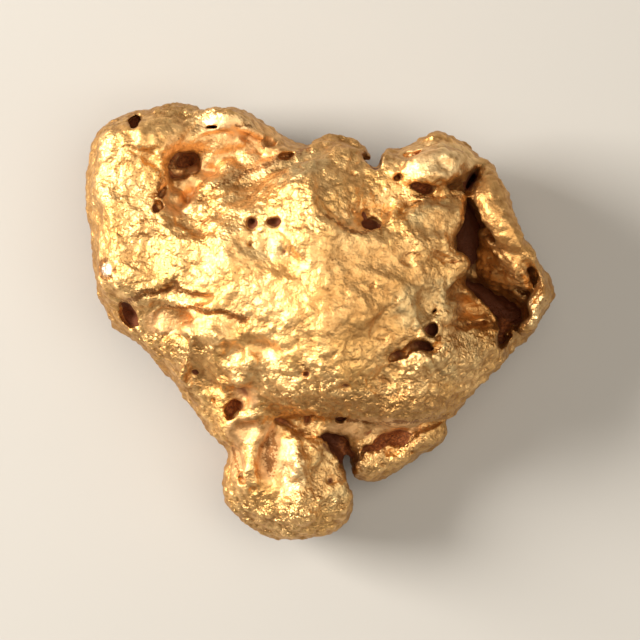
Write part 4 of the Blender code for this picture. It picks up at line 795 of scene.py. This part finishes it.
def surface_of(field):
    """Points and four-sided faces of the largest shell of a field's surface, in millimetres."""
    outside = np.ones(field.shape, bool)
    outside[1:-1, 1:-1, 1:-1] = False
    grid = openvdb.FloatGrid(1.0)
    grid.copyFromArray(np.where(outside, 1.0, np.clip(field, -1, 1)).astype(np.float32))
    points, _, quads = grid.convertToPolygons(0.0, 0.0)
    shell = np.arange(len(points))
    while True:
        lowest = shell[quads].min(1)
        joined = shell.copy()
        np.minimum.at(joined, quads.ravel(), np.repeat(lowest, 4))
        joined = joined[joined]
        if (joined == shell).all():
            break
        shell = joined
    kept = shell == np.bincount(shell).argmax()
    place = np.cumsum(kept) - 1
    quads = place[quads[kept[quads[:, 0]]]]
    return points[kept] * STEP + np.array([axis[0] for axis in axes]), quads


points, quads = surface_of(metal)
hollow_grid = closed_in(HOLLOW_REACH)
pocket_grid = closed_in(POCKET_REACH)
cad_low, cad_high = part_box("nugget")
field_middle = (points.min(0) + points.max(0)) / 2
shift = np.array([(cad_low.x + cad_high.x) / 2, (cad_low.y + cad_high.y) / 2, 0]) / METRES
shift[:2] -= field_middle[:2]

skin_mesh = bpy.data.meshes.new("nugget skin")
skin_mesh.from_pydata(((points + shift) * METRES).tolist(), [], quads.tolist())
middle_face = skin_mesh.polygons[int(np.argmax(points[quads].mean(1)[:, 2]))]
if middle_face.normal.z < 0:
    skin_mesh.flip_normals()
skin = bpy.data.objects.new("gold_skin", skin_mesh)
bpy.context.scene.collection.objects.link(skin)

# Places are ovals: x, y, half-width and half-height. These stay smooth.
GLAZED = (
    (-4.6, 8.5, 2.6, 1.4), (-7.3, -0.1, 1.3, 0.6), (-2.5, -6.6, 0.6, 1.3), (-3.8, -5.4, 0.8, 0.6),
    (-4.1, -7.0, 0.35, 0.9), (4.9, 8.2, 0.8, 0.35), (-7.0, 6.2, 0.8, 1.0), (2.6, -5.4, 2.0, 0.5),
    (-3.7, -3.8, 0.6, 0.6),
)
# Places where the grain stands up higher.
GRITTY = (
    (3.3, -7.2, 1.8, 0.4), (3.6, -3.9, 4.6, 0.9), (-1.6, -9.8, 3.0, 0.9), (8.3, -1.9, 1.2, 1.4),
    (-9.0, 10.3, 3.0, 0.5), (10.6, 2.6, 0.6, 2.2), (4.4, -6.8, 1.8, 0.9), (-8.6, -1.4, 2.6, 0.6),
    (10.2, 0.0, 1.0, 0.8), (6.6, -2.2, 2.0, 1.2),
)
# Places that have been rubbed plain.
PLAIN = (
    (-1.8, 1.2, 3.8, 2.6), (1.6, 1.6, 3.0, 2.2), (5.8, 5.1, 1.3, 0.8), (5.7, 7.9, 1.8, 1.0),
    (-2.0, -7.4, 0.7, 1.6), (8.9, 4.9, 1.2, 2.2), (9.1, 2.8, 1.2, 1.2), (-8.2, 9.6, 1.4, 0.7),
)
FACE_LEVEL = 2.0
FLANK_REACH = 0.6
POCKET_OPEN = 4
SOFT_EDGE = 0.35
PLAIN_EDGE = 0.5
WIDE_EDGE = 0.6
HOLLOW_CALM = 2.2
GLAZE_CALM = 0.85
FLANK_CALM = 0.3
PLAIN_CALM = 0.45
GRIT_GAIN = 0.8
GROUND_EDGE = (0.1, 0.3)


def steepness(points):
    """0 where the surface is level and faces up, 1 where it is upright or faces down."""
    up = np.array([0, 0, FLANK_REACH])
    climb = read_grid(metal, points + up) - read_grid(metal, points - up)
    return 1 - np.clip(climb / (2 * FLANK_REACH), 0, 1)


def open_above(points):
    """1 on the upper face and in its hollows, 0 on the flanks and the underside."""
    facing = np.maximum(2 - 2 * steepness(points), POCKET_OPEN * read_grid(pocket_grid, points))
    return np.clip(facing, 0, 1) * (points[:, 2] > FACE_LEVEL)


def painted(points, places, soft=SOFT_EDGE):
    """1 inside the nearest of some ovals on the upper face, falling to 0 over a soft edge."""
    found = np.zeros(len(points))
    for x, y, half_x, half_y in places:
        away = np.hypot((points[:, 0] - x) / half_x, (points[:, 1] - y) / half_y)
        found = np.maximum(found, np.clip((1 + soft - away) / soft, 0, 1))
    return found * found * (3 - 2 * found) * open_sky


def set_values(mesh, name, values):
    """Stores a value for each point of a mesh."""
    attribute = mesh.attributes.new(name, "FLOAT", "POINT")
    attribute.data.foreach_set("value", np.asarray(values, np.float32))


open_sky = open_above(points)
smooth = np.clip(HOLLOW_CALM * read_grid(hollow_grid, points), 0, 1)
smooth = np.maximum(smooth, GLAZE_CALM * painted(points, GLAZED))
texture = 1 - PLAIN_CALM * painted(points, PLAIN, PLAIN_EDGE)
texture = texture * (1 + GRIT_GAIN * painted(points, GRITTY, WIDE_EDGE))
set_values(skin_mesh, "texture", texture)
kept = (1 - smooth) * (1 - FLANK_CALM * steepness(points))
set_values(skin_mesh, "grain", kept * np.clip((points[:, 2] - GROUND_EDGE[0]) / GROUND_EDGE[1], 0, 1))


class Amount:
    """A socket's value, which adds Math nodes when Python sums are written with it."""

    def __init__(self, recipe, socket):
        self.recipe = recipe
        self.socket = socket

    def math(self, operation, other=0.0, swapped=False):
        pair = (other, self) if swapped else (self, other)
        return self.recipe.node("ShaderNodeMath", {"operation": operation}, {0: pair[0], 1: pair[1]})[0]

    def __add__(self, other):
        return self.math("ADD", other)

    __radd__ = __add__

    def __sub__(self, other):
        return self.math("SUBTRACT", other)

    def __rsub__(self, other):
        return self.math("SUBTRACT", other, swapped=True)

    def __mul__(self, other):
        return self.math("MULTIPLY", other)

    __rmul__ = __mul__

    def over(self, low, high):
        """0 at low, 1 at high, eased between them and held outside."""
        settings = {"interpolation_type": "SMOOTHSTEP"}
        return self.recipe.node("ShaderNodeMapRange", settings,
                                {"Value": self, "From Min": low, "From Max": high})[0]


class Recipe:
    """Adds nodes to a tree: the type, its settings, and then the values or links of its sockets."""

    def __init__(self, tree):
        self.tree = tree

    def node(self, kind, settings=None, sockets=None):
        made = self.tree.nodes.new(kind)
        for name, value in (settings or {}).items():
            setattr(made, name, value)
        for name, value in (sockets or {}).items():
            if isinstance(value, Amount):
                self.tree.links.new(value.socket, made.inputs[name])
            else:
                made.inputs[name].default_value = value
        return [Amount(self, socket) for socket in made.outputs]


grain_tree = bpy.data.node_groups.new("hammered grain", "GeometryNodeTree")
grain_tree.interface.new_socket("Geometry", in_out="INPUT", socket_type="NodeSocketGeometry")
GRAIN_INPUTS = {
    "Grain size": GRAIN_SIZE * METRES, "Grain height": GRAIN_HEIGHT * METRES,
    "Fine size": FINE_SIZE * METRES, "Fine height": FINE_HEIGHT * METRES,
    "Lump size": LUMP_SIZE * METRES, "Lump height": LUMP_HEIGHT * METRES, "Seed": GRAIN_SEED,
}
for name in GRAIN_INPUTS:
    grain_tree.interface.new_socket(name, in_out="INPUT", socket_type="NodeSocketFloat")
grain_tree.interface.new_socket("Metal", in_out="INPUT", socket_type="NodeSocketMaterial")
grain_tree.interface.new_socket("Geometry", in_out="OUTPUT", socket_type="NodeSocketGeometry")
recipe = Recipe(grain_tree)
inputs = recipe.node("NodeGroupInput")
lump, grain_size, grain_height, fine_size, fine_height, lump_size, lump_height, seed, metal_in, _ = inputs
place = recipe.node("GeometryNodeInputPosition")[0]


def scaled(size):
    """The place on the lump, counted in steps of the given size."""
    shares = recipe.node("ShaderNodeMath", {"operation": "DIVIDE"}, {0: 1.0, 1: size})[0]
    return recipe.node("ShaderNodeVectorMath", {"operation": "SCALE"}, {0: place, "Scale": shares})[0]


def pebbles(size, roundness):
    """Rounded cells: 1 at the middle of each, 0 in the seams between them."""
    bent = recipe.node("ShaderNodeTexNoise", {"noise_dimensions": "4D"}, {
        "Vector": scaled(size), "W": seed, "Scale": BEND_SCALE, "Detail": 2.0})[1]
    moved = recipe.node("ShaderNodeVectorMath", {"operation": "MULTIPLY_ADD"}, {
        0: bent, 1: BEND, 2: scaled(size)})[0]
    distance = recipe.node("ShaderNodeTexVoronoi", {"voronoi_dimensions": "4D", "feature": "SMOOTH_F1"}, {
        "Vector": moved, "W": seed, "Scale": 1.0, "Smoothness": roundness, "Randomness": 1.0})[0]
    return 1 - distance.over(*PEBBLE_EDGES)


coarse = pebbles(grain_size, COARSE_ROUNDNESS)
fine = pebbles(fine_size, FINE_ROUNDNESS)
rolling = recipe.node("ShaderNodeTexNoise", {"noise_dimensions": "4D"}, {
    "Vector": scaled(lump_size), "W": seed, "Scale": 1.0, "Detail": 1.0, "Roughness": 0.5})[0]
kept_grain = recipe.node("GeometryNodeInputNamedAttribute", {"data_type": "FLOAT"}, {"Name": "grain"})[0]
texture = recipe.node("GeometryNodeInputNamedAttribute", {"data_type": "FLOAT"}, {"Name": "texture"})[0]
rise = (coarse - MIDDLE_PEBBLE) * grain_height * (texture * (1 - PLAIN_GRAIN) + PLAIN_GRAIN)
rise = rise + (fine - 0.5) * fine_height * texture + (rolling - 0.5) * lump_height
normal = recipe.node("GeometryNodeInputNormal")[0]
offset = recipe.node("ShaderNodeVectorMath", {"operation": "SCALE"},
                     {0: normal, "Scale": rise * kept_grain})[0]
stored = recipe.node("GeometryNodeStoreNamedAttribute", {"data_type": "FLOAT", "domain": "POINT"}, {
    "Geometry": lump, "Name": "pebble", "Value": coarse * 0.7 + fine * 0.3})[0]
moved_skin = recipe.node("GeometryNodeSetPosition", None, {"Geometry": stored, "Offset": offset})[0]
real = recipe.node("GeometryNodeRealizeInstances", None, {"Geometry": moved_skin})[0]
coated = recipe.node("GeometryNodeSetMaterial", None, {"Geometry": real, "Material": metal_in})[0]
recipe.node("NodeGroupOutput", None, {"Geometry": coated})

gold = bpy.data.materials.new("native gold")
gold.use_nodes = True
grain = skin.modifiers.new("grain", "NODES")
grain.node_group = grain_tree
for item in grain_tree.interface.items_tree:
    if item.in_out == "INPUT" and item.name in GRAIN_INPUTS:
        grain[item.identifier] = GRAIN_INPUTS[item.name]
    elif item.in_out == "INPUT" and item.name == "Metal":
        grain[item.identifier] = gold
thin = skin.modifiers.new("thin", "DECIMATE")
thin.ratio = SKIN_TRIANGLES / (2 * len(quads))
thin.use_collapse_triangulate = True
worked = bpy.data.meshes.new_from_object(skin.evaluated_get(bpy.context.evaluated_depsgraph_get()))
skin.modifiers.clear()
skin.data = worked
worked.shade_smooth()
places = np.array([vertex.co for vertex in worked.vertices]) / METRES
places[places[:, 2] < FLAT_SNAP, 2] = 0
worked.vertices.foreach_set("co", (places * METRES).astype(np.float32).ravel())
worked.update()


# ---------------- the metal
# Native gold, about nine parts in ten. It is browner in the seams of its grain, glazed orange in the smooth
# hollows, and stained red-brown by iron and clay in the pits. Painted shade darkens its flanks, creases,
# hollows, pockets and some listed places, and a painted highlight makes a few places paler. Each
# finish is a layer over the ones before it, and its LAYER value says how strongly it is laid on.
BRIGHT_GOLD = (1.0, 0.65, 0.28, 1)
DEEP_GOLD = (0.93, 0.55, 0.19, 1)
# Dull patches, partly painted shade.
DULL_AND_SHADE_GOLD = (0.66, 0.50, 0.25, 1)
DULL_AND_SHADE_LAYER = 0.8
SEAM_BROWN = (0.45, 0.22, 0.065, 1)
SEAM_LAYER = 0.7
SEAM_SHADE_ON_FLANK = 0.2
GLAZE = (0.90, 0.56, 0.29, 1)
GLAZE_LAYER = 0.6
# Painted shade: the steep flanks and the underside are laid darker brown, and their grain seams darker
# still.
FLANK_SHADE_BROWN = (0.42, 0.21, 0.06, 1)
FLANK_SHADE_LAYER = 0.8
FLANK_SHADE_LIFTED = 0.75
# Stain and painted shade in the small hollows; the same brown paints the shade in the creases and the
# specks.
STAIN_AND_SHADE_BROWN = (0.30, 0.12, 0.035, 1)
STAIN_AND_SHADE_LAYER = 0.6
STAIN_AND_SHADE_LIFTED = 0.45
CREASE_SHADE_LAYER = 0.85
SPECK_LAYER = 0.7
# Iron and clay stain and painted shade in the pockets and pits.
POCKET_STAIN_AND_SHADE = (0.16, 0.042, 0.011, 1)
RUST = (0.48, 0.16, 0.04, 1)
QUARTZ = (0.86, 0.66, 0.52, 1)
# Painted shade in the listed places.
PLACE_SHADE_BROWN = (0.66, 0.37, 0.13, 1)
# Painted highlight.
HIGHLIGHT_GOLD = (1.0, 0.75, 0.40, 1)
HIGHLIGHT_LAYER = 0.8
RUST_LEAST = 0.25
RUST_DUST = 0.8
CREASE_BREAKS = (2.0, 2.4)
HOLLOW_DIRT_AND_SHADE = 0.3
POCKET_WASH_WEIGHT = 0.9
LIGHTENED_CUT = 1.2
DIRT_AND_SHADE_SPECKLE = 0.25
ROUGHNESS = 0.59
ROUGH_SPECKLE = 0.16
ROUGH_GLAZE = 0.1
ROUGH_STAIN = 0.15
ROUGH_POCKET = 0.2
GRIT_POLISH = 0.12
DIRT_AND_SHADE_COVER = 0.7
BUMP_STRENGTH = 0.8
BUMP_DISTANCE = 0.00008
HAMMER_BUMP = 0.35
DUST_BUMP = 0.8
FINEST_BUMP = 0.2
GLAZE_FLATNESS = 0.6
# How many clouds or cells of each pattern go to a millimetre.
PATCH_SCALE = 0.55
SPECKLE_SCALE = 3.2
DUST_SCALE = 9.0
FINEST_SCALE = 20.0
SPECK_SCALE = 1.7
SPECK_GROUP_SCALE = 0.9
HAMMER_SCALE = 4.6

HOLLOW_SHADE = 2.6
POCKET_SHADE = 1.9
PIT_SHADE = (0.12, 0.35)
CREASE_EDGE = 1.6
QUARTZ_PLACE = (-10.55, 2.5)
QUARTZ_RING = 0.34
QUARTZ_EDGE = 0.08
QUARTZ_DEPTH = 0.35
QUARTZ_DIRT = 0.1
RING_DIRT = (2.2, 2)
FIBRE_GAPS = (2.15, 2.5, 2.9, 3.3, 3.7, 4.1)
SHADED_PLACE_EDGE = 0.7
# Places where the painted shade and the stain are held back, so they read lighter.
LIGHTENED_PLACES = (
    (10.6, 2.2, 0.5, 0.6), (9.4, 2.9, 1.1, 1.1), (-5.0, 8.5, 3.3, 1.5), (-7.0, 6.0, 1.0, 1.0),
    (-6.8, 0.0, 1.2, 0.6), (-2.2, -6.8, 0.8, 1.3), (3.0, 6.3, 0.9, 1.4), (-3.4, -5.3, 1.0, 0.7),
    (3.4, -7.25, 1.4, 0.3),
)
# Places where iron has rusted in the pits.
RUSTED = (
    (-6.9, 7.85, 0.8, 0.7), (-1.7, -5.1, 0.9, 0.4), (-0.3, -4.9, 0.8, 0.35), (3.2, -6.1, 1.5, 0.5),
    (4.8, 8.3, 0.5, 0.3), (-4.35, -4.6, 0.65, 0.7), (1.5, -6.3, 0.5, 0.5), (5.1, 6.5, 0.6, 0.3),
    (3.8, 7.0, 0.35, 0.3), (9.3, -0.5, 0.4, 0.5),
)
# Places painted dark as shade on the floors of deep pockets, and places with a thinner wash of that painted
# shade.
POCKET_SHADE_FILLS = (
    (9.35, 0.35, 0.55, 0.6), (8.6, 1.15, 0.6, 0.25), (9.2, -0.7, 0.25, 0.5), (0.8, -6.15, 0.6, 0.5),
)
POCKET_SHADE_WASHES = (
    (9.3, 0.3, 1.0, 0.8), (8.2, 1.4, 0.8, 0.4), (7.3, 4.3, 0.7, 1.3), (7.6, 7.0, 0.5, 0.6),
    (1.0, -6.3, 0.9, 0.8), (3.3, -6.1, 1.5, 0.5), (9.2, -0.9, 0.4, 0.6), (9.5, 0.3, 0.6, 0.7),
)
# Places darkened with painted shade, each with how far.
SHADED_PLACES = (
    (3.2, 1.2, 2.2, 2.0, 0.6), (9.3, 4.8, 1.3, 2.6, 0.75), (5.4, 3.6, 1.6, 1.2, 0.25),
    (3.4, -4.3, 4.2, 0.5, 0.9), (7.6, 3.0, 0.7, 3.0, 0.7), (0.4, 8.7, 1.6, 0.6, 0.6),
    (-2.35, -6.8, 0.4, 0.8, 1.0), (-8.0, 3.5, 2.0, 1.2, 0.45), (-1.8, 1.6, 3.0, 2.0, 0.35),
    (-2.0, 7.0, 1.6, 0.5, 0.5), (5.6, 5.1, 1.0, 0.5, 0.4), (-6.0, -2.1, 0.2, 1.1, 0.9),
    (-7.3, 0.1, 1.0, 0.35, 0.8), (-3.3, -5.5, 0.9, 0.45, 0.6), (-4.2, -7.0, 0.25, 0.9, 0.6),
    (-7.3, -0.5, 1.2, 0.3, 0.6), (7.5, 0.7, 0.8, 0.7, 0.6), (-3.5, -3.7, 0.5, 0.4, 0.7),
)
# Places painted paler as a highlight, and dull places, on some of which the dulling is painted shade.
HIGHLIGHT_PLACES = (
    (5.9, 7.9, 1.4, 0.7), (-1.3, -7.6, 0.5, 1.0), (-4.6, 9.7, 1.2, 0.35), (10.8, 0.4, 0.8, 0.6),
)
# Dull greyish patches; those on the boss's north slope and on the tongue are painted shade.
DULLED_AND_SHADED = (
    (-4.0, 6.75, 1.2, 0.35), (-2.2, 7.2, 1.2, 0.45), (-0.7, 7.8, 0.9, 0.5), (-2.6, 3.4, 1.1, 0.4),
    (5.2, 0.6, 1.3, 1.0), (5.6, 1.4, 1.2, 0.5), (5.5, 5.2, 1.1, 0.6), (6.5, -1.6, 1.2, 1.0),
    (0.6, -7.8, 0.8, 1.2),
)
# Lines of painted shade along creases, under ledges and between the fibres: points of (x, y, half-width).
SHADED_CREASES = (
    [(-9.9, 0.9, 0.1), (-9.1, 1.0, 0.18), (-8.8, 1.3, 0.24), (-8.0, 1.4, 0.16), (-7.6, 1.55, 0.18),
     (-7.15, 1.75, 0.26), (-6.9, 1.5, 0.22), (-6.2, 1.3, 0.12), (-5.6, 1.25, 0.07)],
    [(-7.6, 0.7, 0.08), (-6.9, 0.65, 0.14), (-6.3, 0.7, 0.16), (-5.6, 0.45, 0.2), (-4.8, 0.45, 0.14),
     (-4.2, 0.25, 0.2), (-3.6, -0.1, 0.24), (-3.9, -0.6, 0.12)],
    [(-6.0, 5.9, 0.08), (-5.5, 6.3, 0.1), (-4.8, 6.75, 0.1), (-4.0, 7.15, 0.16), (-2.6, 7.65, 0.14),
     (-1.2, 8.25, 0.2), (-0.6, 8.55, 0.15)],
    [(0.1, 5.15, 0.05), (0.7, 4.85, 0.08), (1.3, 4.4, 0.1), (2.0, 4.2, 0.1), (2.9, 4.5, 0.07),
     (3.6, 4.95, 0.05)],
    [(-2.2, -4.65, 0.1), (0.0, -4.75, 0.12), (1.5, -5.0, 0.12), (3.0, -5.1, 0.1), (5.5, -4.9, 0.1),
     (6.4, -4.7, 0.08)], [(-2.35, -5.8, 0.2), (-2.5, -6.4, 0.36), (-2.5, -7.0, 0.34), (-2.4, -7.7, 0.15)],
    [(-4.4, -6.2, 0.06), (-4.2, -7.0, 0.09), (-3.95, -7.9, 0.1)],
    [(4.1, 3.15, 0.05), (4.5, 3.3, 0.06), (4.95, 3.2, 0.05)],
    [(6.0, 3.05, 0.04), (6.6, 2.85, 0.05), (7.2, 2.9, 0.04)],
    [(-8.05, 5.3, 0.1), (-8.1, 6.1, 0.06), (-7.85, 6.9, 0.08)],
    [(-6.6, 5.2, 0.08), (-5.9, 5.0, 0.14), (-5.6, 4.6, 0.1)],
    [(-4.1, 9.6, 0.06), (-3.5, 9.65, 0.08), (-3.0, 9.4, 0.06)],
    [(4.3, 6.05, 0.06), (5.4, 6.1, 0.1), (6.9, 6.05, 0.12)],
    [(7.15, 5.9, 0.06), (7.15, 5.2, 0.09), (6.95, 4.6, 0.09)], [(-0.9, -2.1, 0.06), (-0.6, -2.4, 0.12)],
    *([(8.0, y, 0.03), (9.0, 0.75 * y + 0.36, 0.03), (10.0, 0.45 * y + 0.62, 0.02)]
      for y in FIBRE_GAPS),
)

field_points = places - shift
open_sky = open_above(field_points)
set_values(worked, "flank", steepness(field_points))
set_values(worked, "hollow", np.clip(HOLLOW_SHADE * read_grid(hollow_grid, field_points), 0, 1))
set_values(worked, "pocket", np.clip(POCKET_SHADE * read_grid(pocket_grid, field_points), 0, 1))
lost = -read_grid(unpitted, field_points)
set_values(worked, "pit", np.clip((lost - PIT_SHADE[0]) / (PIT_SHADE[1] - PIT_SHADE[0]), 0, 1))
for name, ovals, soft in (
    ("glaze", GLAZED, SOFT_EDGE), ("lightened", LIGHTENED_PLACES, SOFT_EDGE), ("rust", RUSTED, SOFT_EDGE),
    ("pocket_shade_fill", POCKET_SHADE_FILLS, SOFT_EDGE), ("pocket_shade_wash", POCKET_SHADE_WASHES, SOFT_EDGE), ("dulled_and_shaded", DULLED_AND_SHADED, WIDE_EDGE),
    ("pale", HIGHLIGHT_PLACES, WIDE_EDGE),
):
    set_values(worked, name, painted(field_points, ovals, soft))
# Painted shade in the listed places.
place_shades = [amount * painted(field_points, (oval,), SHADED_PLACE_EDGE) for *oval, amount in SHADED_PLACES]
set_values(worked, "place_shade", np.maximum.reduce(place_shades))
# Painted shade along the creases, then the dirt ring round the quartz grain.
crease_shades_and_ring = np.zeros(len(field_points))
for path in SHADED_CREASES:
    gap, (half,) = nearest_on(path, field_points[:, 0], field_points[:, 1])
    crease_shades_and_ring = np.maximum(crease_shades_and_ring, np.clip(CREASE_EDGE - gap / half, 0, 1) * open_sky)
from_quartz = np.hypot(field_points[:, 0] - QUARTZ_PLACE[0], field_points[:, 1] - QUARTZ_PLACE[1])
quartz_level = field_points[from_quartz < QUARTZ_RING / 2, 2].max()
from_quartz = np.hypot(from_quartz, QUARTZ_DEPTH * (field_points[:, 2] - quartz_level))
from_dirt = np.abs(from_quartz - QUARTZ_RING - QUARTZ_DIRT)
crease_shades_and_ring = np.maximum(crease_shades_and_ring, np.clip(RING_DIRT[0] - from_dirt / QUARTZ_EDGE, 0, RING_DIRT[1]))
set_values(worked, "crease_shade_and_ring", crease_shades_and_ring)
set_values(worked, "quartz", np.clip((QUARTZ_RING - from_quartz) / QUARTZ_EDGE, 0, 1))

recipe = Recipe(gold.node_tree)
shader = gold.node_tree.nodes["Principled BSDF"]
place = recipe.node("ShaderNodeTexCoord")[3]
millimetres = recipe.node("ShaderNodeVectorMath", {"operation": "SCALE"},
                          {0: place, "Scale": 1 / METRES})[0]


def attribute(name):
    return recipe.node("ShaderNodeAttribute", {"attribute_name": name})[2]


def cloud(scale, detail=3.0):
    """Soft random patches, so many to a millimetre."""
    return recipe.node("ShaderNodeTexNoise", None,
                       {"Vector": millimetres, "Scale": scale, "Detail": detail})[0]


def cell(scale):
    """Distance from the middle of the nearest of some random cells."""
    return recipe.node("ShaderNodeTexVoronoi", None, {"Vector": millimetres, "Scale": scale})[0]


def mixed(factor, first, second):
    return recipe.node("ShaderNodeMix", {"data_type": "RGBA"}, {0: factor, 6: first, 7: second})[2]


patches = cloud(PATCH_SCALE)
speckle = cloud(SPECKLE_SCALE)
dust = cloud(DUST_SCALE, 2.0)
pebble = attribute("pebble")
hollow = attribute("hollow")
pocket = attribute("pocket")
# Where the painted shade and the stain are held back.
lightened = attribute("lightened")
texture = attribute("texture")
glazed = attribute("glaze") * patches.over(0.25, 0.6)
dulled_and_shaded = attribute("dulled_and_shaded") * patches.over(0.3, 0.65)
seams = (1 - pebble).over(0.35, 0.9) * speckle.over(0.25, 0.65)
# Painted shade on the steep flanks and the underside.
flank = (attribute("flank") + (speckle - 0.5) * 0.5).over(0.35, 0.95)
pitted = attribute("pit") * hollow.over(0.02, 0.25)
specks = (1 - cell(SPECK_SCALE).over(0.05, 0.12)) * cloud(SPECK_GROUP_SCALE).over(0.45, 0.6)
# Stain and painted shade in the small hollows.
stained_and_shaded = (hollow + (speckle - 0.5) * 0.5).over(0.45, 1.0)
# Painted shade in the creases, broken up, and the quartz grain's dirt ring.
crease_shade_and_ring = attribute("crease_shade_and_ring") + (speckle - 0.5) * CREASE_BREAKS[0] + (dust - 0.5) * CREASE_BREAKS[1]
crease_shade_and_ring = crease_shade_and_ring.over(0.4, 1.0)
# Painted shade on the floors of the deep pockets.
pocket_shade_wash = attribute("pocket_shade_wash") * (pocket + hollow).over(0.1, 0.5)
# Darker in the pockets, pits and small hollows: iron and clay stain, with painted shade where they lie in
# shadow.
dirt_and_shade = pocket + hollow * HOLLOW_DIRT_AND_SHADE + pitted + pocket_shade_wash * POCKET_WASH_WEIGHT + attribute("pocket_shade_fill") - lightened * LIGHTENED_CUT
deep = (dirt_and_shade + (speckle - 0.5) * DIRT_AND_SHADE_SPECKLE).over(0.5, 0.95)
rusty = dust.over(0.4, 0.65) * RUST_DUST + RUST_LEAST

# From the bottom up: where each finish lies, and its colour.
LAYERS = (
    # Painted shade on the flanks.
    (flank * (FLANK_SHADE_LAYER - lightened * FLANK_SHADE_LIFTED), FLANK_SHADE_BROWN),
    # Painted shade in the listed places.
    (attribute("place_shade"), PLACE_SHADE_BROWN),
    # Painted highlight on a few rounded places.
    (attribute("pale") * HIGHLIGHT_LAYER, HIGHLIGHT_GOLD),
    (glazed * GLAZE_LAYER, GLAZE),
    # Dull patches, and painted shade on the boss's north slope and the tongue.
    (dulled_and_shaded * DULL_AND_SHADE_LAYER, DULL_AND_SHADE_GOLD),
    # Grain seams, darker on the flanks as painted shade.
    (seams * (SEAM_LAYER + flank * SEAM_SHADE_ON_FLANK), SEAM_BROWN),
    # Stain and painted shade in the small hollows, held back in the lightened places.
    (stained_and_shaded * (STAIN_AND_SHADE_LAYER - lightened * STAIN_AND_SHADE_LIFTED), STAIN_AND_SHADE_BROWN),
    # Painted shade in the creases, and the quartz grain's dirt ring.
    (crease_shade_and_ring * CREASE_SHADE_LAYER, STAIN_AND_SHADE_BROWN),
    (specks * SPECK_LAYER, STAIN_AND_SHADE_BROWN),
    # Stain and painted shade in the pockets and pits.
    (deep, POCKET_STAIN_AND_SHADE),
    (attribute("rust") * deep * rusty, RUST),
    (attribute("quartz"), QUARTZ),
)
colour = mixed(patches.over(0.35, 0.7), BRIGHT_GOLD, DEEP_GOLD)
for cover, finish in LAYERS:
    colour = mixed(cover, colour, finish)
rough = ROUGHNESS - texture * GRIT_POLISH + (speckle - 0.5) * ROUGH_SPECKLE + glazed * ROUGH_GLAZE
rough = rough + stained_and_shaded * ROUGH_STAIN + deep * ROUGH_POCKET
hammered = (1 - cell(HAMMER_SCALE).over(0.1, 0.75)) * HAMMER_BUMP
height = hammered + dust * DUST_BUMP + cloud(FINEST_SCALE, 2.0) * FINEST_BUMP
height = height * (1 - glazed * GLAZE_FLATNESS) * texture
bump = recipe.node("ShaderNodeBump", None, {
    "Strength": BUMP_STRENGTH, "Distance": BUMP_DISTANCE, "Height": height})[0]
for name, value in (("Base Color", colour), ("Roughness", rough), ("Metallic", 1 - deep * DIRT_AND_SHADE_COVER),
                    ("Normal", bump)):
    gold.node_tree.links.new(value.socket, shader.inputs[name])

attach(skin, "root")
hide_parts("nugget")


# ---------------- the studio
# A plain pale floor, a warm soft light from the left, a wide weak one overhead and a faint one from the
# right. The camera looks straight down on the lobed side.
FLOOR_COLOUR = (0.50, 0.49, 0.47, 1)
FLOOR_ROUGHNESS = 0.8
FLOOR_CORNERS = [(-1.5, -1.5, 0), (1.5, -1.5, 0), (1.5, 1.5, 0), (-1.5, 1.5, 0)]
ROOM_COLOUR = (1.0, 0.95, 0.88, 1)
ROOM_STRENGTH = 0.15
LENS = 200
CAMERA_HEIGHT = 0.1825
NEAREST = 0.01
AIM = Vector((0, 0, 0.005))
# Each lamp's name, place, size, power and tint.
LAMPS = (
    ("key", (-0.20, 0.05, 0.125), 0.11, 1.08, (1.0, 0.94, 0.86)),
    ("overhead", (0.10, 0.02, 0.36), 0.30, 0.83, (1.0, 0.90, 0.76)),
    ("right", (0.20, -0.08, 0.12), 0.14, 0.07, (1.0, 0.95, 0.88)),
)
floor_mesh = bpy.data.meshes.new("floor")
floor_mesh.from_pydata(FLOOR_CORNERS, [], [(0, 1, 2, 3)])
floor = bpy.data.objects.new("floor", floor_mesh)
bpy.context.scene.collection.objects.link(floor)
pale = bpy.data.materials.new("pale floor")
pale.use_nodes = True
finish = pale.node_tree.nodes["Principled BSDF"].inputs
finish["Base Color"].default_value = FLOOR_COLOUR
finish["Roughness"].default_value = FLOOR_ROUGHNESS
floor_mesh.materials.append(pale)

for name, place, size, power, tint in LAMPS:
    light = bpy.data.lights.new(name, "AREA")
    light.energy = power
    light.size = size
    light.color = tint
    lamp = bpy.data.objects.new(name, light)
    lamp.location = place
    lamp.rotation_euler = (AIM - Vector(place)).to_track_quat("-Z", "Y").to_euler()
    bpy.context.scene.collection.objects.link(lamp)

world = bpy.data.worlds.new("studio")
world.use_nodes = True
world.node_tree.nodes["Background"].inputs["Color"].default_value = ROOM_COLOUR
world.node_tree.nodes["Background"].inputs["Strength"].default_value = ROOM_STRENGTH
bpy.context.scene.world = world

lens = bpy.data.cameras.new("camera")
lens.lens = LENS
lens.clip_start = NEAREST
camera = bpy.data.objects.new("camera", lens)
camera.location = (shift[0] * METRES, shift[1] * METRES, CAMERA_HEIGHT)
bpy.context.scene.collection.objects.link(camera)
bpy.context.scene.camera = camera
bpy.context.scene.view_settings.view_transform = "Standard"
